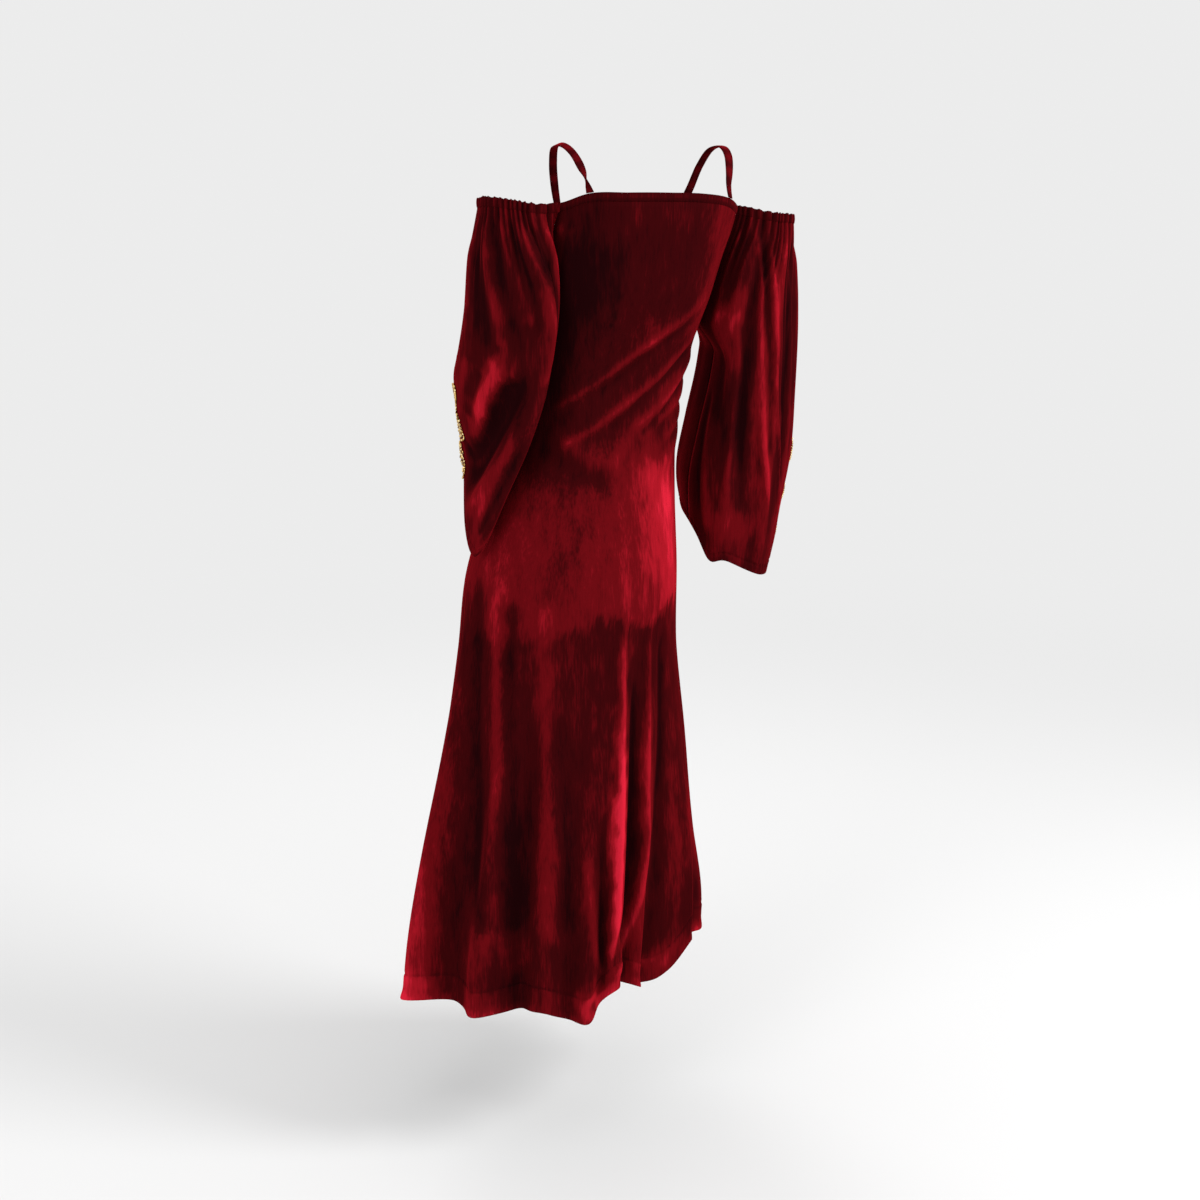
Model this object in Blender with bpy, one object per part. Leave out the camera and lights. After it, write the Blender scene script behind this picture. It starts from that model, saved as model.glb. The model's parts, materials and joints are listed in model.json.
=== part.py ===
"""Cold-shoulder velvet gown, filled out as when it is worn, with nobody in it.

Metres, +Z up. The front faces -Y and the wearer's left is +X. The origin is midway between the
undersides of the two shoulder straps where they cross the shoulders, which hold the gown up.
A drop is a distance straight down from the origin.
"""

import math
from collections import namedtuple

import bpy
import numpy as np

# Cloth
WALL = 0.0018            # velvet, pile and backing
BAND_WALL = 0.0030       # the neck bands and the elastic casings are folded double
SEAM_GAP = 0.0003
BAND_HEIGHT = 0.012
STRAP_WIDTH = 0.0115
STRAP_THICKNESS = 0.0028
STRAP_GAP = 0.0006       # from a strap's end to the top edge of a neck band

# Where the pieces end
UNDERARM_DROP = 0.235
SLIT_DROP = 0.868        # top of the slit in the right side seam

# Points across and down each piece
BACK_COLUMNS = 45
FRONT_COLUMNS = 29
ARMHOLE_ROWS = 5         # rows of points from the top of a piece to the underarm
WAIST_ROWS = 10          # rows from there to below the waist, where folds cross the gown
SKIRT_ROWS = 11
WAIST_END_DROP = 0.455
SLEEVE_GRID = (45, 16)
BAND_POINTS = 25
STRAP_POINTS = 25

LEFT, RIGHT = 1, -1      # which side of the wearer, as the sign of X
BODY_FACING = -1         # the panels' columns run round the body the other way from a left sleeve's

# The body of the gown: centre of each level section and its reach from there in eight directions.
Section = namedtuple(
    "Section",
    "drop centre_x centre_y left back_left back back_right right front_right front front_left",
)
BODY_SECTIONS = [
    Section(0.050, -0.004, 0.000, 0.138, 0.117, 0.096, 0.117, 0.138, 0.110, 0.096, 0.110),
    Section(0.085, 0.000, -0.001, 0.138, 0.117, 0.096, 0.117, 0.139, 0.116, 0.103, 0.116),
    Section(0.152, 0.016, -0.005, 0.134, 0.115, 0.094, 0.116, 0.135, 0.128, 0.118, 0.128),
    Section(0.208, 0.028, -0.008, 0.128, 0.111, 0.089, 0.112, 0.131, 0.133, 0.127, 0.133),
    Section(0.246, 0.038, -0.012, 0.122, 0.106, 0.083, 0.106, 0.128, 0.128, 0.121, 0.128),
    Section(0.290, 0.048, -0.016, 0.116, 0.099, 0.076, 0.098, 0.124, 0.112, 0.101, 0.112),
    Section(0.340, 0.055, -0.021, 0.114, 0.094, 0.073, 0.093, 0.121, 0.100, 0.085, 0.101),
    Section(0.395, 0.055, -0.025, 0.117, 0.094, 0.077, 0.092, 0.119, 0.095, 0.080, 0.098),
    Section(0.480, 0.067, -0.030, 0.143, 0.114, 0.104, 0.112, 0.131, 0.107, 0.090, 0.110),
    Section(0.580, 0.083, -0.034, 0.161, 0.139, 0.131, 0.136, 0.150, 0.124, 0.105, 0.128),
    Section(0.700, 0.094, -0.033, 0.166, 0.147, 0.136, 0.142, 0.162, 0.138, 0.116, 0.141),
    Section(0.850, 0.103, -0.029, 0.180, 0.156, 0.142, 0.152, 0.187, 0.162, 0.131, 0.160),
    Section(1.000, 0.112, -0.024, 0.196, 0.166, 0.149, 0.156, 0.212, 0.188, 0.148, 0.182),
    Section(1.125, 0.118, -0.021, 0.208, 0.172, 0.153, 0.156, 0.234, 0.206, 0.161, 0.198),
    Section(1.230, 0.120, -0.020, 0.216, 0.174, 0.152, 0.150, 0.229, 0.208, 0.170, 0.206),
]
DIRECTIONS = 8
DIRECTION_STEP = 360 / DIRECTIONS

# Folds that run down the skirt. Positive depths are ridges and negative ones are troughs.
SkirtFold = namedtuple("SkirtFold", "angle_top angle_hem start full depth width")
SKIRT_FOLDS = [
    SkirtFold(4, 5, 0.62, 1.20, 0.036, 7.0),
    SkirtFold(24, 18, 0.70, 1.20, -0.012, 7.0),
    SkirtFold(44, 35, 0.50, 1.20, 0.024, 6.0),
    SkirtFold(56, 51, 0.58, 1.20, -0.020, 6.0),
    SkirtFold(68, 67, 0.62, 1.20, 0.006, 6.0),
    SkirtFold(79, 77, 0.70, 1.20, -0.008, 5.5),
    SkirtFold(90, 87, 0.75, 1.20, 0.010, 5.5),
    SkirtFold(99, 96, 0.80, 1.20, -0.009, 5.0),
    SkirtFold(108, 105, 0.56, 1.10, 0.012, 5.0),
    SkirtFold(117, 113, 0.60, 1.15, -0.012, 5.0),
    SkirtFold(127, 121, 0.66, 1.15, 0.010, 5.0),
    SkirtFold(137, 131, 0.70, 1.20, -0.012, 5.5),
    SkirtFold(196, 196, 0.80, 1.20, -0.016, 7.0),
    SkirtFold(213, 212, 0.66, 1.20, 0.018, 8.0),
    SkirtFold(232, 231, 0.62, 1.20, -0.016, 8.0),
    SkirtFold(252, 252, 0.60, 1.20, 0.017, 8.0),
    SkirtFold(272, 272, 0.66, 1.20, -0.015, 8.0),
    SkirtFold(292, 293, 0.62, 1.20, 0.018, 8.0),
    SkirtFold(314, 315, 0.66, 1.20, -0.015, 8.0),
    SkirtFold(336, 337, 0.70, 1.20, 0.012, 8.0),
]
HEM_DROP = 1.20

# Folds that drag across the waist, from the right side seam down towards the left hip.
DragFold = namedtuple("DragFold", "angle_from drop_from angle_to drop_to sag depth width")
DRAG_FOLDS = [
    DragFold(172, 0.262, 74, 0.372, 0.016, 0.0060, 0.018),
    DragFold(177, 0.290, 62, 0.432, 0.018, 0.0075, 0.018),
    DragFold(180, 0.325, 84, 0.456, 0.014, 0.0060, 0.017),
    DragFold(184, 0.362, 112, 0.456, 0.008, 0.0050, 0.016),
    DragFold(188, 0.270, 262, 0.350, 0.014, 0.0055, 0.020),
    DragFold(184, 0.325, 250, 0.425, 0.012, 0.0050, 0.019),
]
DRAG_STEPS = 9
WAIST_RADIUS = 0.105     # turns an angle round the waist into a length

# The hem's drop, round the skirt, and the side seams' angles, down it.
HemPoint = namedtuple("HemPoint", "angle drop")
HEM = [
    HemPoint(0, 1.216), HemPoint(14, 1.208), HemPoint(30, 1.208), HemPoint(52, 1.206),
    HemPoint(66, 1.204), HemPoint(78, 1.222), HemPoint(88, 1.224), HemPoint(96, 1.208),
    HemPoint(104, 1.184), HemPoint(116, 1.190), HemPoint(130, 1.206), HemPoint(146, 1.196),
    HemPoint(157, 1.160), HemPoint(170, 1.170), HemPoint(200, 1.196), HemPoint(230, 1.206),
    HemPoint(300, 1.210), HemPoint(360, 1.216),
]
SeamPoint = namedtuple("SeamPoint", "drop left right")
SIDE_SEAMS = [
    SeamPoint(0.040, 0.0, 180.0), SeamPoint(0.400, 0.0, 180.0), SeamPoint(0.600, 1.0, 172.0),
    SeamPoint(0.860, 3.0, 161.0), SeamPoint(1.230, 5.0, 155.0),
]
SLIT_OPENING = 0.16      # the drop over which the slit comes open
SLIT_BACK_LIFT = 0.010   # its back edge stands out from the skirt
SLIT_FRONT_TUCK = 0.004  # and its front edge lies inside
SLIT_REACH = 12.0        # degrees of the skirt that it disturbs

# The neckline's drop, and how far round from the side seams the armholes end there.
NeckPoint = namedtuple("NeckPoint", "angle drop")
NECKLINE = [
    NeckPoint(0, 0.071), NeckPoint(15.5, 0.0705), NeckPoint(34, 0.058), NeckPoint(60, 0.0565),
    NeckPoint(90, 0.057), NeckPoint(120, 0.059), NeckPoint(146, 0.066), NeckPoint(164.5, 0.077),
    NeckPoint(180, 0.080), NeckPoint(207, 0.094), NeckPoint(230, 0.102), NeckPoint(270, 0.110),
    NeckPoint(310, 0.097), NeckPoint(333, 0.086), NeckPoint(360, 0.071),
]
ARMHOLE_BACK = 15.5
ARMHOLE_FRONT = 27.0
ARMHOLE_CURVE = 0.8

# Four lines that run down each sleeve, at the back, the outside, the front and the inside.
ArmRow = namedtuple(
    "ArmRow",
    "share back_x back_y back_drop outer_x outer_y outer_drop"
    " front_x front_y front_drop inner_x inner_y inner_drop",
)
SLEEVE_ROWS = {
    LEFT: [
        ArmRow(0.00, 0.156, 0.052, 0.086, 0.222, -0.004, 0.075, 0.170, -0.068, 0.097, 0.122, -0.008, 0.090),
        ArmRow(0.13, 0.150, 0.066, 0.148, 0.232, -0.006, 0.140, 0.176, -0.078, 0.150, 0.146, -0.008, 0.150),
        ArmRow(0.32, 0.152, 0.074, 0.240, 0.237, -0.010, 0.228, 0.192, -0.086, 0.220, 0.168, -0.010, 0.238),
        ArmRow(0.46, 0.164, 0.071, 0.314, 0.240, -0.020, 0.284, 0.204, -0.098, 0.262, 0.176, -0.016, 0.290),
        ArmRow(0.62, 0.188, 0.061, 0.390, 0.246, -0.034, 0.340, 0.212, -0.112, 0.296, 0.182, -0.030, 0.340),
        ArmRow(0.80, 0.221, 0.045, 0.470, 0.243, -0.050, 0.392, 0.216, -0.122, 0.330, 0.188, -0.048, 0.388),
        ArmRow(1.00, 0.249, 0.020, 0.548, 0.240, -0.064, 0.446, 0.218, -0.128, 0.368, 0.192, -0.066, 0.436),
    ],
    RIGHT: [
        ArmRow(0.00, 0.172, 0.046, 0.099, 0.227, -0.006, 0.106, 0.170, -0.070, 0.108, 0.122, -0.008, 0.100),
        ArmRow(0.13, 0.168, 0.054, 0.158, 0.235, -0.012, 0.164, 0.170, -0.080, 0.164, 0.134, -0.012, 0.160),
        ArmRow(0.32, 0.165, 0.058, 0.250, 0.242, -0.020, 0.254, 0.170, -0.092, 0.238, 0.128, -0.014, 0.236),
        ArmRow(0.48, 0.160, 0.054, 0.334, 0.242, -0.024, 0.338, 0.166, -0.098, 0.312, 0.119, -0.020, 0.318),
        ArmRow(0.66, 0.157, 0.048, 0.424, 0.237, -0.028, 0.424, 0.160, -0.105, 0.388, 0.104, -0.028, 0.396),
        ArmRow(0.84, 0.153, 0.040, 0.510, 0.219, -0.030, 0.508, 0.150, -0.108, 0.462, 0.092, -0.032, 0.468),
        ArmRow(1.00, 0.150, 0.032, 0.594, 0.208, -0.032, 0.592, 0.149, -0.105, 0.532, 0.094, -0.034, 0.533),
    ],
}
UNDERARM_SHARE = 0.32    # share of a sleeve's length where its two edges meet
EDGE_TURN_TOP = 126.0    # degrees round the arm from its outside to the armhole, at the top
EDGE_TURN_LOW = 179.8    # and from the underarm down, where the sleeve is a closed tube
SQUARENESS_TOP = 0.9     # under 1 a ring is fuller at its corners than an ellipse
SQUARENESS_LOW = 0.72
ARMHOLE_BLEND = 0.22     # share of a sleeve's width that turns in to the armhole
ARMHOLE_FADE = 0.10      # share of its length that the turn takes to die out below the underarm
SLEEVE_CLEAR = 0.0012    # least distance from the gown's body, and the distance further round
SLEEVE_CLEAR_ROUND = 0.0040

# Small gathers under the elastic, and the folds that run down from them.
GATHERS = 12
GATHER_DEPTH = 0.0018
GATHER_FADE = 0.22
SleeveFold = namedtuple("SleeveFold", "across_from share_from across_to share_to depth width")
SLEEVE_FOLDS = {
    LEFT: [
        SleeveFold(0.12, 0.04, 0.10, 0.46, 0.0060, 0.026),
        SleeveFold(0.20, 0.03, 0.18, 0.40, -0.0050, 0.024),
        SleeveFold(0.28, 0.03, 0.25, 0.42, 0.0060, 0.026),
        SleeveFold(0.36, 0.04, 0.32, 0.38, -0.0050, 0.026),
        SleeveFold(0.44, 0.05, 0.42, 0.44, 0.0055, 0.028),
        SleeveFold(0.56, 0.04, 0.56, 0.70, 0.0060, 0.030),
        SleeveFold(0.68, 0.05, 0.68, 0.60, -0.0060, 0.030),
        SleeveFold(0.80, 0.05, 0.80, 0.62, 0.0060, 0.030),
        SleeveFold(0.41, 0.38, 0.47, 0.66, 0.0080, 0.030),
        SleeveFold(0.32, 0.42, 0.47, 0.94, -0.0150, 0.032),
        SleeveFold(0.25, 0.46, 0.42, 1.00, 0.0060, 0.030),
    ],
    RIGHT: [
        SleeveFold(0.10, 0.04, 0.14, 0.62, 0.0070, 0.026),
        SleeveFold(0.18, 0.04, 0.21, 0.80, -0.0060, 0.026),
        SleeveFold(0.27, 0.03, 0.30, 1.05, 0.0060, 0.026),
        SleeveFold(0.36, 0.03, 0.38, 0.80, -0.0060, 0.026),
        SleeveFold(0.44, 0.03, 0.45, 1.05, 0.0075, 0.026),
        SleeveFold(0.53, 0.04, 0.53, 0.90, -0.0055, 0.028),
        SleeveFold(0.64, 0.05, 0.64, 1.05, 0.0070, 0.030),
        SleeveFold(0.76, 0.05, 0.76, 0.90, -0.0070, 0.030),
        SleeveFold(0.88, 0.05, 0.88, 1.05, 0.0060, 0.030),
    ],
}

# Beaded motifs on the outer front of each lower sleeve: place on the sleeve, and size of the leaf.
Motif = namedtuple("Motif", "across share length width")
MOTIFS = {
    LEFT: [
        Motif(0.545, 0.66, 0.034, 0.020), Motif(0.525, 0.79, 0.044, 0.026),
        Motif(0.505, 0.93, 0.034, 0.020),
    ],
    RIGHT: [
        Motif(0.475, 0.66, 0.040, 0.022), Motif(0.478, 0.79, 0.036, 0.022),
        Motif(0.480, 0.90, 0.040, 0.024),
    ],
}
MOTIF_LIFT = 0.0008      # clear of the cloth between the points of the sleeve
MOTIF_HEIGHT = 0.0030
MOTIF_TIP = 0.25         # width of a leaf's blunt tip, as a share of its width
MOTIF_GRID = (5, 9)

# Straps: the angles where they leave the neck bands, the route between, and the ribbon's turn.
STRAP_BACK_ANGLE = {LEFT: 35.0, RIGHT: 146.5}
STRAP_FRONT_ANGLE = {LEFT: 317.0, RIGHT: 223.0}
STRAP_SETTLE = 0.3       # share of a strap over which it turns from along the band to square on
StrapPoint = namedtuple("StrapPoint", "out y drop turn")
STRAPS = {
    LEFT: [
        StrapPoint(0.1015, 0.0690, 0.0440, 60), StrapPoint(0.1045, 0.0590, 0.0280, 150),
        StrapPoint(0.1090, 0.0390, 0.0085, 180), StrapPoint(0.1140, 0.0130, -0.0030, 192),
        StrapPoint(0.1160, -0.0030, -0.0040, 205), StrapPoint(0.1160, -0.0190, -0.0010, 194),
        StrapPoint(0.1110, -0.0420, 0.0190, 180), StrapPoint(0.1010, -0.0640, 0.0560, 180),
    ],
    RIGHT: [
        StrapPoint(0.1035, 0.0660, 0.0500, 0), StrapPoint(0.1080, 0.0570, 0.0320, 0),
        StrapPoint(0.1140, 0.0390, 0.0110, 0), StrapPoint(0.1170, 0.0120, -0.0010, 0),
        StrapPoint(0.1160, -0.0050, -0.0014, 0), StrapPoint(0.1140, -0.0200, 0.0020, 0),
        StrapPoint(0.1090, -0.0440, 0.0220, 0), StrapPoint(0.1000, -0.0650, 0.0600, 0),
    ],
}

Look = namedtuple("Look", "red green blue metallic roughness")
VELVET = Look(0.27, 0.008, 0.018, 0.0, 0.75)
BINDING = Look(0.22, 0.008, 0.016, 0.0, 0.80)
BEADS = Look(0.62, 0.42, 0.16, 1.0, 0.35)


def through(keys, values, at):
    """A smooth curve through the values at the keys. Values may have several columns."""
    keys = np.asarray(keys, float)
    values = np.asarray(values, float)
    at = np.clip(np.atleast_1d(np.asarray(at, float)), keys[0], keys[-1])
    slopes = np.gradient(values, keys, axis=0)
    low = np.clip(np.searchsorted(keys, at, side="right") - 1, 0, len(keys) - 2)
    span = keys[low + 1] - keys[low]
    t = (at - keys[low]) / span
    if values.ndim > 1:
        t, span = t[:, None], span[:, None]
    return (
        values[low] * (1 + 2 * t) * (1 - t) ** 2
        + slopes[low] * span * t * (1 - t) ** 2
        + values[low + 1] * t * t * (3 - 2 * t)
        + slopes[low + 1] * span * t * t * (t - 1)
    )


def rise(value, start, end):
    """0 before start, 1 after end, and smooth between them."""
    t = np.clip((value - start) / (end - start), 0, 1)
    return t * t * (3 - 2 * t)


def bump(distance, width):
    return np.exp(-((distance / width) ** 2))


def turn_between(angle, other):
    """The signed turn from one angle to another, in degrees, from -180 to 180."""
    return (angle - other + 180) % 360 - 180


def reach_at(reaches, angle):
    """The reach in a direction, smooth between the eight that a section gives."""
    step = angle / DIRECTION_STEP
    low = np.floor(step).astype(int)
    t = step - low
    row = np.arange(len(step))
    before, start, end, after = (reaches[row, (low + k) % DIRECTIONS] for k in (-1, 0, 1, 2))
    return 0.5 * (
        2 * start
        + (end - before) * t
        + (2 * before - 5 * start + 4 * end - after) * t**2
        + (3 * start - before - 3 * end + after) * t**3
    )


def skirt_folds(angle, drop):
    out = np.zeros_like(angle)
    for fold in SKIRT_FOLDS:
        down = rise(drop, fold.start, fold.full)
        line = fold.angle_top + (fold.angle_hem - fold.angle_top) * rise(drop, fold.start, HEM_DROP)
        out += fold.depth * down * bump(turn_between(angle, line), fold.width)
    return out


def nearest_on_line(points, line):
    """Distance from each point to a polyline, and the share of it where the nearest place is."""
    best = np.full(len(points), np.inf)
    along = np.zeros(len(points))
    pieces = len(line) - 1
    for k in range(pieces):
        start, step = line[k], line[k + 1] - line[k]
        t = np.clip((points - start) @ step / (step @ step), 0, 1)
        distance = np.linalg.norm(points - start - t[:, None] * step, axis=1)
        closer = distance < best
        best[closer] = distance[closer]
        along[closer] = ((k + t) / pieces)[closer]
    return best, along


def drag_folds(angle, drop):
    out = np.zeros_like(angle)
    flat = np.column_stack([np.radians(angle % 360) * WAIST_RADIUS, drop])
    share = np.linspace(0, 1, DRAG_STEPS)
    for fold in DRAG_FOLDS:
        turn = np.radians(fold.angle_from + (fold.angle_to - fold.angle_from) * share)
        level = fold.drop_from + (fold.drop_to - fold.drop_from) * share
        level = level + fold.sag * np.sin(np.pi * share)
        distance, along = nearest_on_line(flat, np.column_stack([turn * WAIST_RADIUS, level]))
        out += fold.depth * np.sin(np.pi * along) * bump(distance, fold.width)
    return out


def body_points(angle, drop, out=0.0):
    """Points of the gown's body at these angles and drops, moved out by a further distance."""
    angle, drop = np.broadcast_arrays(np.atleast_1d(angle).astype(float), drop)
    rows = [section[1:] for section in BODY_SECTIONS]
    found = through([section.drop for section in BODY_SECTIONS], rows, drop)
    reach = reach_at(found[:, 2:], angle % 360) + skirt_folds(angle, drop)
    reach = reach + drag_folds(angle, drop) + out
    turn = np.radians(angle)
    across = found[:, 0] + reach * np.cos(turn)
    along = found[:, 1] + reach * np.sin(turn)
    return np.column_stack([across, along, -drop])


def body_cloth(angle, drop, out, wall):
    """The outer and the inner side of a wall on the gown's body."""
    outer = body_points(angle, drop, out)
    over = body_points(angle + 1, drop, out) - body_points(angle - 1, drop, out)
    down = body_points(angle, drop + 0.004, out) - body_points(angle, drop - 0.004, out)
    normal = np.cross(down, over)
    return outer, outer - wall * normal / np.linalg.norm(normal, axis=1)[:, None]


def neck_drop(angle):
    return through([p.angle for p in NECKLINE], [p.drop for p in NECKLINE], angle % 360)


def panel_top(angle):
    return neck_drop(angle) + BAND_HEIGHT + SEAM_GAP


def hem_drop(angle):
    return through([p.angle for p in HEM], [p.drop for p in HEM], angle % 360)


def edge_angle(side, front, drop):
    """The angle of a panel's edge: along the armhole, then down the side seam."""
    seam = through([p.drop for p in SIDE_SEAMS], [p[1:] for p in SIDE_SEAMS], drop)
    seam = seam[:, 0] if side == LEFT else seam[:, 1]
    width = ARMHOLE_FRONT if front else ARMHOLE_BACK
    towards = 1 if (side == LEFT) != front else -1
    corner = (0 if side == LEFT else 180) + towards * width
    top = neck_drop(np.array([corner]))
    left = np.clip((UNDERARM_DROP - drop) / (UNDERARM_DROP - top), 0, 1)
    turn = 360 if side == LEFT and front else 0
    return turn + seam + towards * width * left**ARMHOLE_CURVE


def seam_turn(distance):
    """Degrees that a distance takes up on the body of the gown."""
    return math.degrees(distance / 0.13)


def row_drop(row, top, hem):
    """The drop of a row of points, level from the underarm to below the waist."""
    below = row - ARMHOLE_ROWS
    if below <= 0:
        return top + (UNDERARM_DROP - top) * row / ARMHOLE_ROWS
    if below <= WAIST_ROWS:
        return np.full_like(top, UNDERARM_DROP + (WAIST_END_DROP - UNDERARM_DROP) * below / WAIST_ROWS)
    return WAIST_END_DROP + (hem - WAIST_END_DROP) * (below - WAIST_ROWS) / SKIRT_ROWS


def panel_grids(front):
    """Both sides of the front or the back panel, in rows from the neck down to the hem."""
    columns = FRONT_COLUMNS if front else BACK_COLUMNS
    first_side, last_side = (RIGHT, LEFT) if front else (LEFT, RIGHT)
    across = np.linspace(0, 1, columns)
    half_gap = seam_turn(SEAM_GAP)
    grids = []
    for row in range(ARMHOLE_ROWS + WAIST_ROWS + SKIRT_ROWS + 1):
        drop = np.full(columns, 0.1)
        for _ in range(20):
            first = edge_angle(first_side, front, drop[:1]) + half_gap
            last = edge_angle(last_side, front, drop[-1:]) - half_gap
            angle = first + (last - first) * across
            drop = row_drop(row, panel_top(angle), hem_drop(angle))
        seam = edge_angle(RIGHT, front, drop)
        slit = rise(drop, SLIT_DROP, SLIT_DROP + SLIT_OPENING) * bump(angle - seam, SLIT_REACH)
        lift = -SLIT_FRONT_TUCK if front else SLIT_BACK_LIFT
        grids.append(body_cloth(angle, drop, lift * slit, WALL))
    return np.array(grids).swapaxes(0, 1)


def power(value, exponent):
    return np.sign(value) * np.abs(value) ** exponent


def sleeve_ring(side, turn, share):
    """Points on a plain sleeve. The turn is from the outside of the arm, positive to the back."""
    rows = SLEEVE_ROWS[side]
    found = through([row.share for row in rows], [row[1:] for row in rows], share)
    lines = found.reshape(-1, 4, 3) * (side, 1, -1)
    back, outer, front, inner = np.moveaxis(lines, 1, 0)
    middle = lines.mean(axis=1)
    square = SQUARENESS_TOP + (SQUARENESS_LOW - SQUARENESS_TOP) * share
    cos = power(np.cos(np.radians(turn)), square)[:, None]
    sin = power(np.sin(np.radians(turn)), square)[:, None]
    return (
        middle
        + np.clip(cos, 0, 1) * (outer - middle) + np.clip(-cos, 0, 1) * (inner - middle)
        + np.clip(sin, 0, 1) * (back - middle) + np.clip(-sin, 0, 1) * (front - middle)
    )


def edge_turn(share):
    return EDGE_TURN_TOP + (EDGE_TURN_LOW - EDGE_TURN_TOP) * rise(share, 0, UNDERARM_SHARE)


def armhole_points(side, front, share):
    """The sleeve's edge along the armhole, which passes from beside the panel to outside it."""
    width = ARMHOLE_FRONT if front else ARMHOLE_BACK
    towards = 1 if (side == LEFT) != front else -1
    top = panel_top(np.array([(0 if side == LEFT else 180) + towards * width]))
    drop = top + (UNDERARM_DROP - top) * np.clip(share / UNDERARM_SHARE, 0, 1)
    low = np.clip(share / UNDERARM_SHARE, 0, 1)
    angle = edge_angle(side, front, drop) - towards * seam_turn(SEAM_GAP) * (1 - 2 * low)
    return body_points(angle, drop, SLEEVE_CLEAR * rise(low, 0, 0.6))


def body_centre(drop):
    centres = [(section.centre_x, section.centre_y) for section in BODY_SECTIONS]
    return through([section.drop for section in BODY_SECTIONS], centres, drop)


def clear_of_body(points, clearance):
    """Moves points straight out from the gown's middle to where they clear its body."""
    centre = body_centre(-points[:, 2])
    away = points[:, :2] - centre
    angle = np.degrees(np.arctan2(away[:, 1], away[:, 0]))
    body = body_points(angle, -points[:, 2], clearance)
    need = np.linalg.norm(body[:, :2] - centre, axis=1)
    have = np.linalg.norm(away, axis=1)
    moved = points.copy()
    moved[:, :2] = centre + away * np.maximum(1, need / have)[:, None]
    return moved


def sleeve_swell(side, across, share):
    """How far the gathers and the folds lift the cloth."""
    wander = 0.35 * np.sin(7 * across + side) + 0.2 * np.sin(19 * across)
    fade = 1 - rise(share, 0.02, GATHER_FADE)
    swell = GATHER_DEPTH * fade * np.sin(2 * np.pi * (GATHERS * across + wander))
    for fold in SLEEVE_FOLDS[side]:
        t = np.clip((share - fold.share_from) / (fold.share_to - fold.share_from), 0, 1)
        line = fold.across_from + (fold.across_to - fold.across_from) * t
        starts = rise(share, fold.share_from - 0.04, fold.share_from + 0.10)
        ends = 1 - rise(share, fold.share_to - 0.16, fold.share_to + 0.02)
        swell = swell + fold.depth * starts * ends * bump(across - line, fold.width)
    edge = np.minimum(across, 1 - across)
    return swell * rise(edge, 0, 0.08)


def sleeve_normals(side, grid):
    """Unit vectors that point out of the cloth at each point of a sleeve."""
    down, over = np.gradient(grid, axis=0), np.gradient(grid, axis=1)
    joined = grid[ARMHOLE_ROWS:, 1] - grid[ARMHOLE_ROWS:, -2]
    over[ARMHOLE_ROWS:, 0] = over[ARMHOLE_ROWS:, -1] = joined
    down[ARMHOLE_ROWS + 1:, -1] = down[ARMHOLE_ROWS + 1:, 0]
    out = np.cross(over, down) * side
    out[0, :, 2] = 0
    return out / np.linalg.norm(out, axis=2)[:, :, None]


def sleeve_grid(side):
    """Points of a sleeve: across from its back edge, round outside the arm, to its front edge."""
    columns, rows = SLEEVE_GRID
    upper = np.linspace(0, UNDERARM_SHARE, ARMHOLE_ROWS + 1)
    lower = np.linspace(UNDERARM_SHARE, 1, rows - ARMHOLE_ROWS)[1:]
    share, across = np.meshgrid(np.append(upper, lower), np.linspace(0, 1, columns), indexing="ij")
    share, across = share.ravel(), across.ravel()
    points = sleeve_ring(side, edge_turn(share) * (1 - 2 * across), share)
    held = np.minimum(share, UNDERARM_SHARE)
    fade = 1 - rise(share, UNDERARM_SHARE, UNDERARM_SHARE + ARMHOLE_FADE)
    for front in (False, True):
        edge = sleeve_ring(side, edge_turn(held) * (-1 if front else 1), held)
        near = 1 - rise(1 - across if front else across, 0, ARMHOLE_BLEND)
        points = points + (near * fade)[:, None] * (armhole_points(side, front, held) - edge)
    grid = points.reshape(rows, columns, 3)
    swell = sleeve_swell(side, across, share).reshape(rows, columns, 1)
    folded = (grid + sleeve_normals(side, grid) * swell).reshape(-1, 3)
    round_arm = rise(np.minimum(across, 1 - across), 0, 0.10)
    below = rise(share, UNDERARM_SHARE, UNDERARM_SHARE + 0.10)
    clearance = SLEEVE_CLEAR + SLEEVE_CLEAR_ROUND * np.maximum(round_arm, below)
    cleared = clear_of_body(folded, clearance)
    sewn = (share <= UNDERARM_SHARE) & ((across == 0) | (across == 1))
    cleared[sewn] = folded[sewn]
    return cleared.reshape(rows, columns, 3)


def band_angles(front):
    corners = (180 + ARMHOLE_FRONT, 360 - ARMHOLE_FRONT) if front else (ARMHOLE_BACK, 180 - ARMHOLE_BACK)
    gap = seam_turn(SEAM_GAP)
    return np.linspace(corners[0] + gap, corners[1] - gap, BAND_POINTS)


def neck_band_grids(front):
    """Both sides of the band along a panel's neckline, in two rows."""
    angle = band_angles(front)
    top = neck_drop(angle)
    out = (BAND_WALL - WALL) / 2
    rows = [body_cloth(angle, top + down, out, BAND_WALL) for down in (0, BAND_HEIGHT)]
    return np.array(rows).swapaxes(0, 1)


def casing_grids(sleeve, out):
    """Both sides of the elastic casing that stands on the top edge of a sleeve, in two rows."""
    middle = sleeve[0] - out[0] * WALL / 2 + (0, 0, SEAM_GAP)
    rows = np.array([middle + (0, 0, BAND_HEIGHT), middle])
    return rows + out[0] * BAND_WALL / 2, rows - out[0] * BAND_WALL / 2


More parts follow.
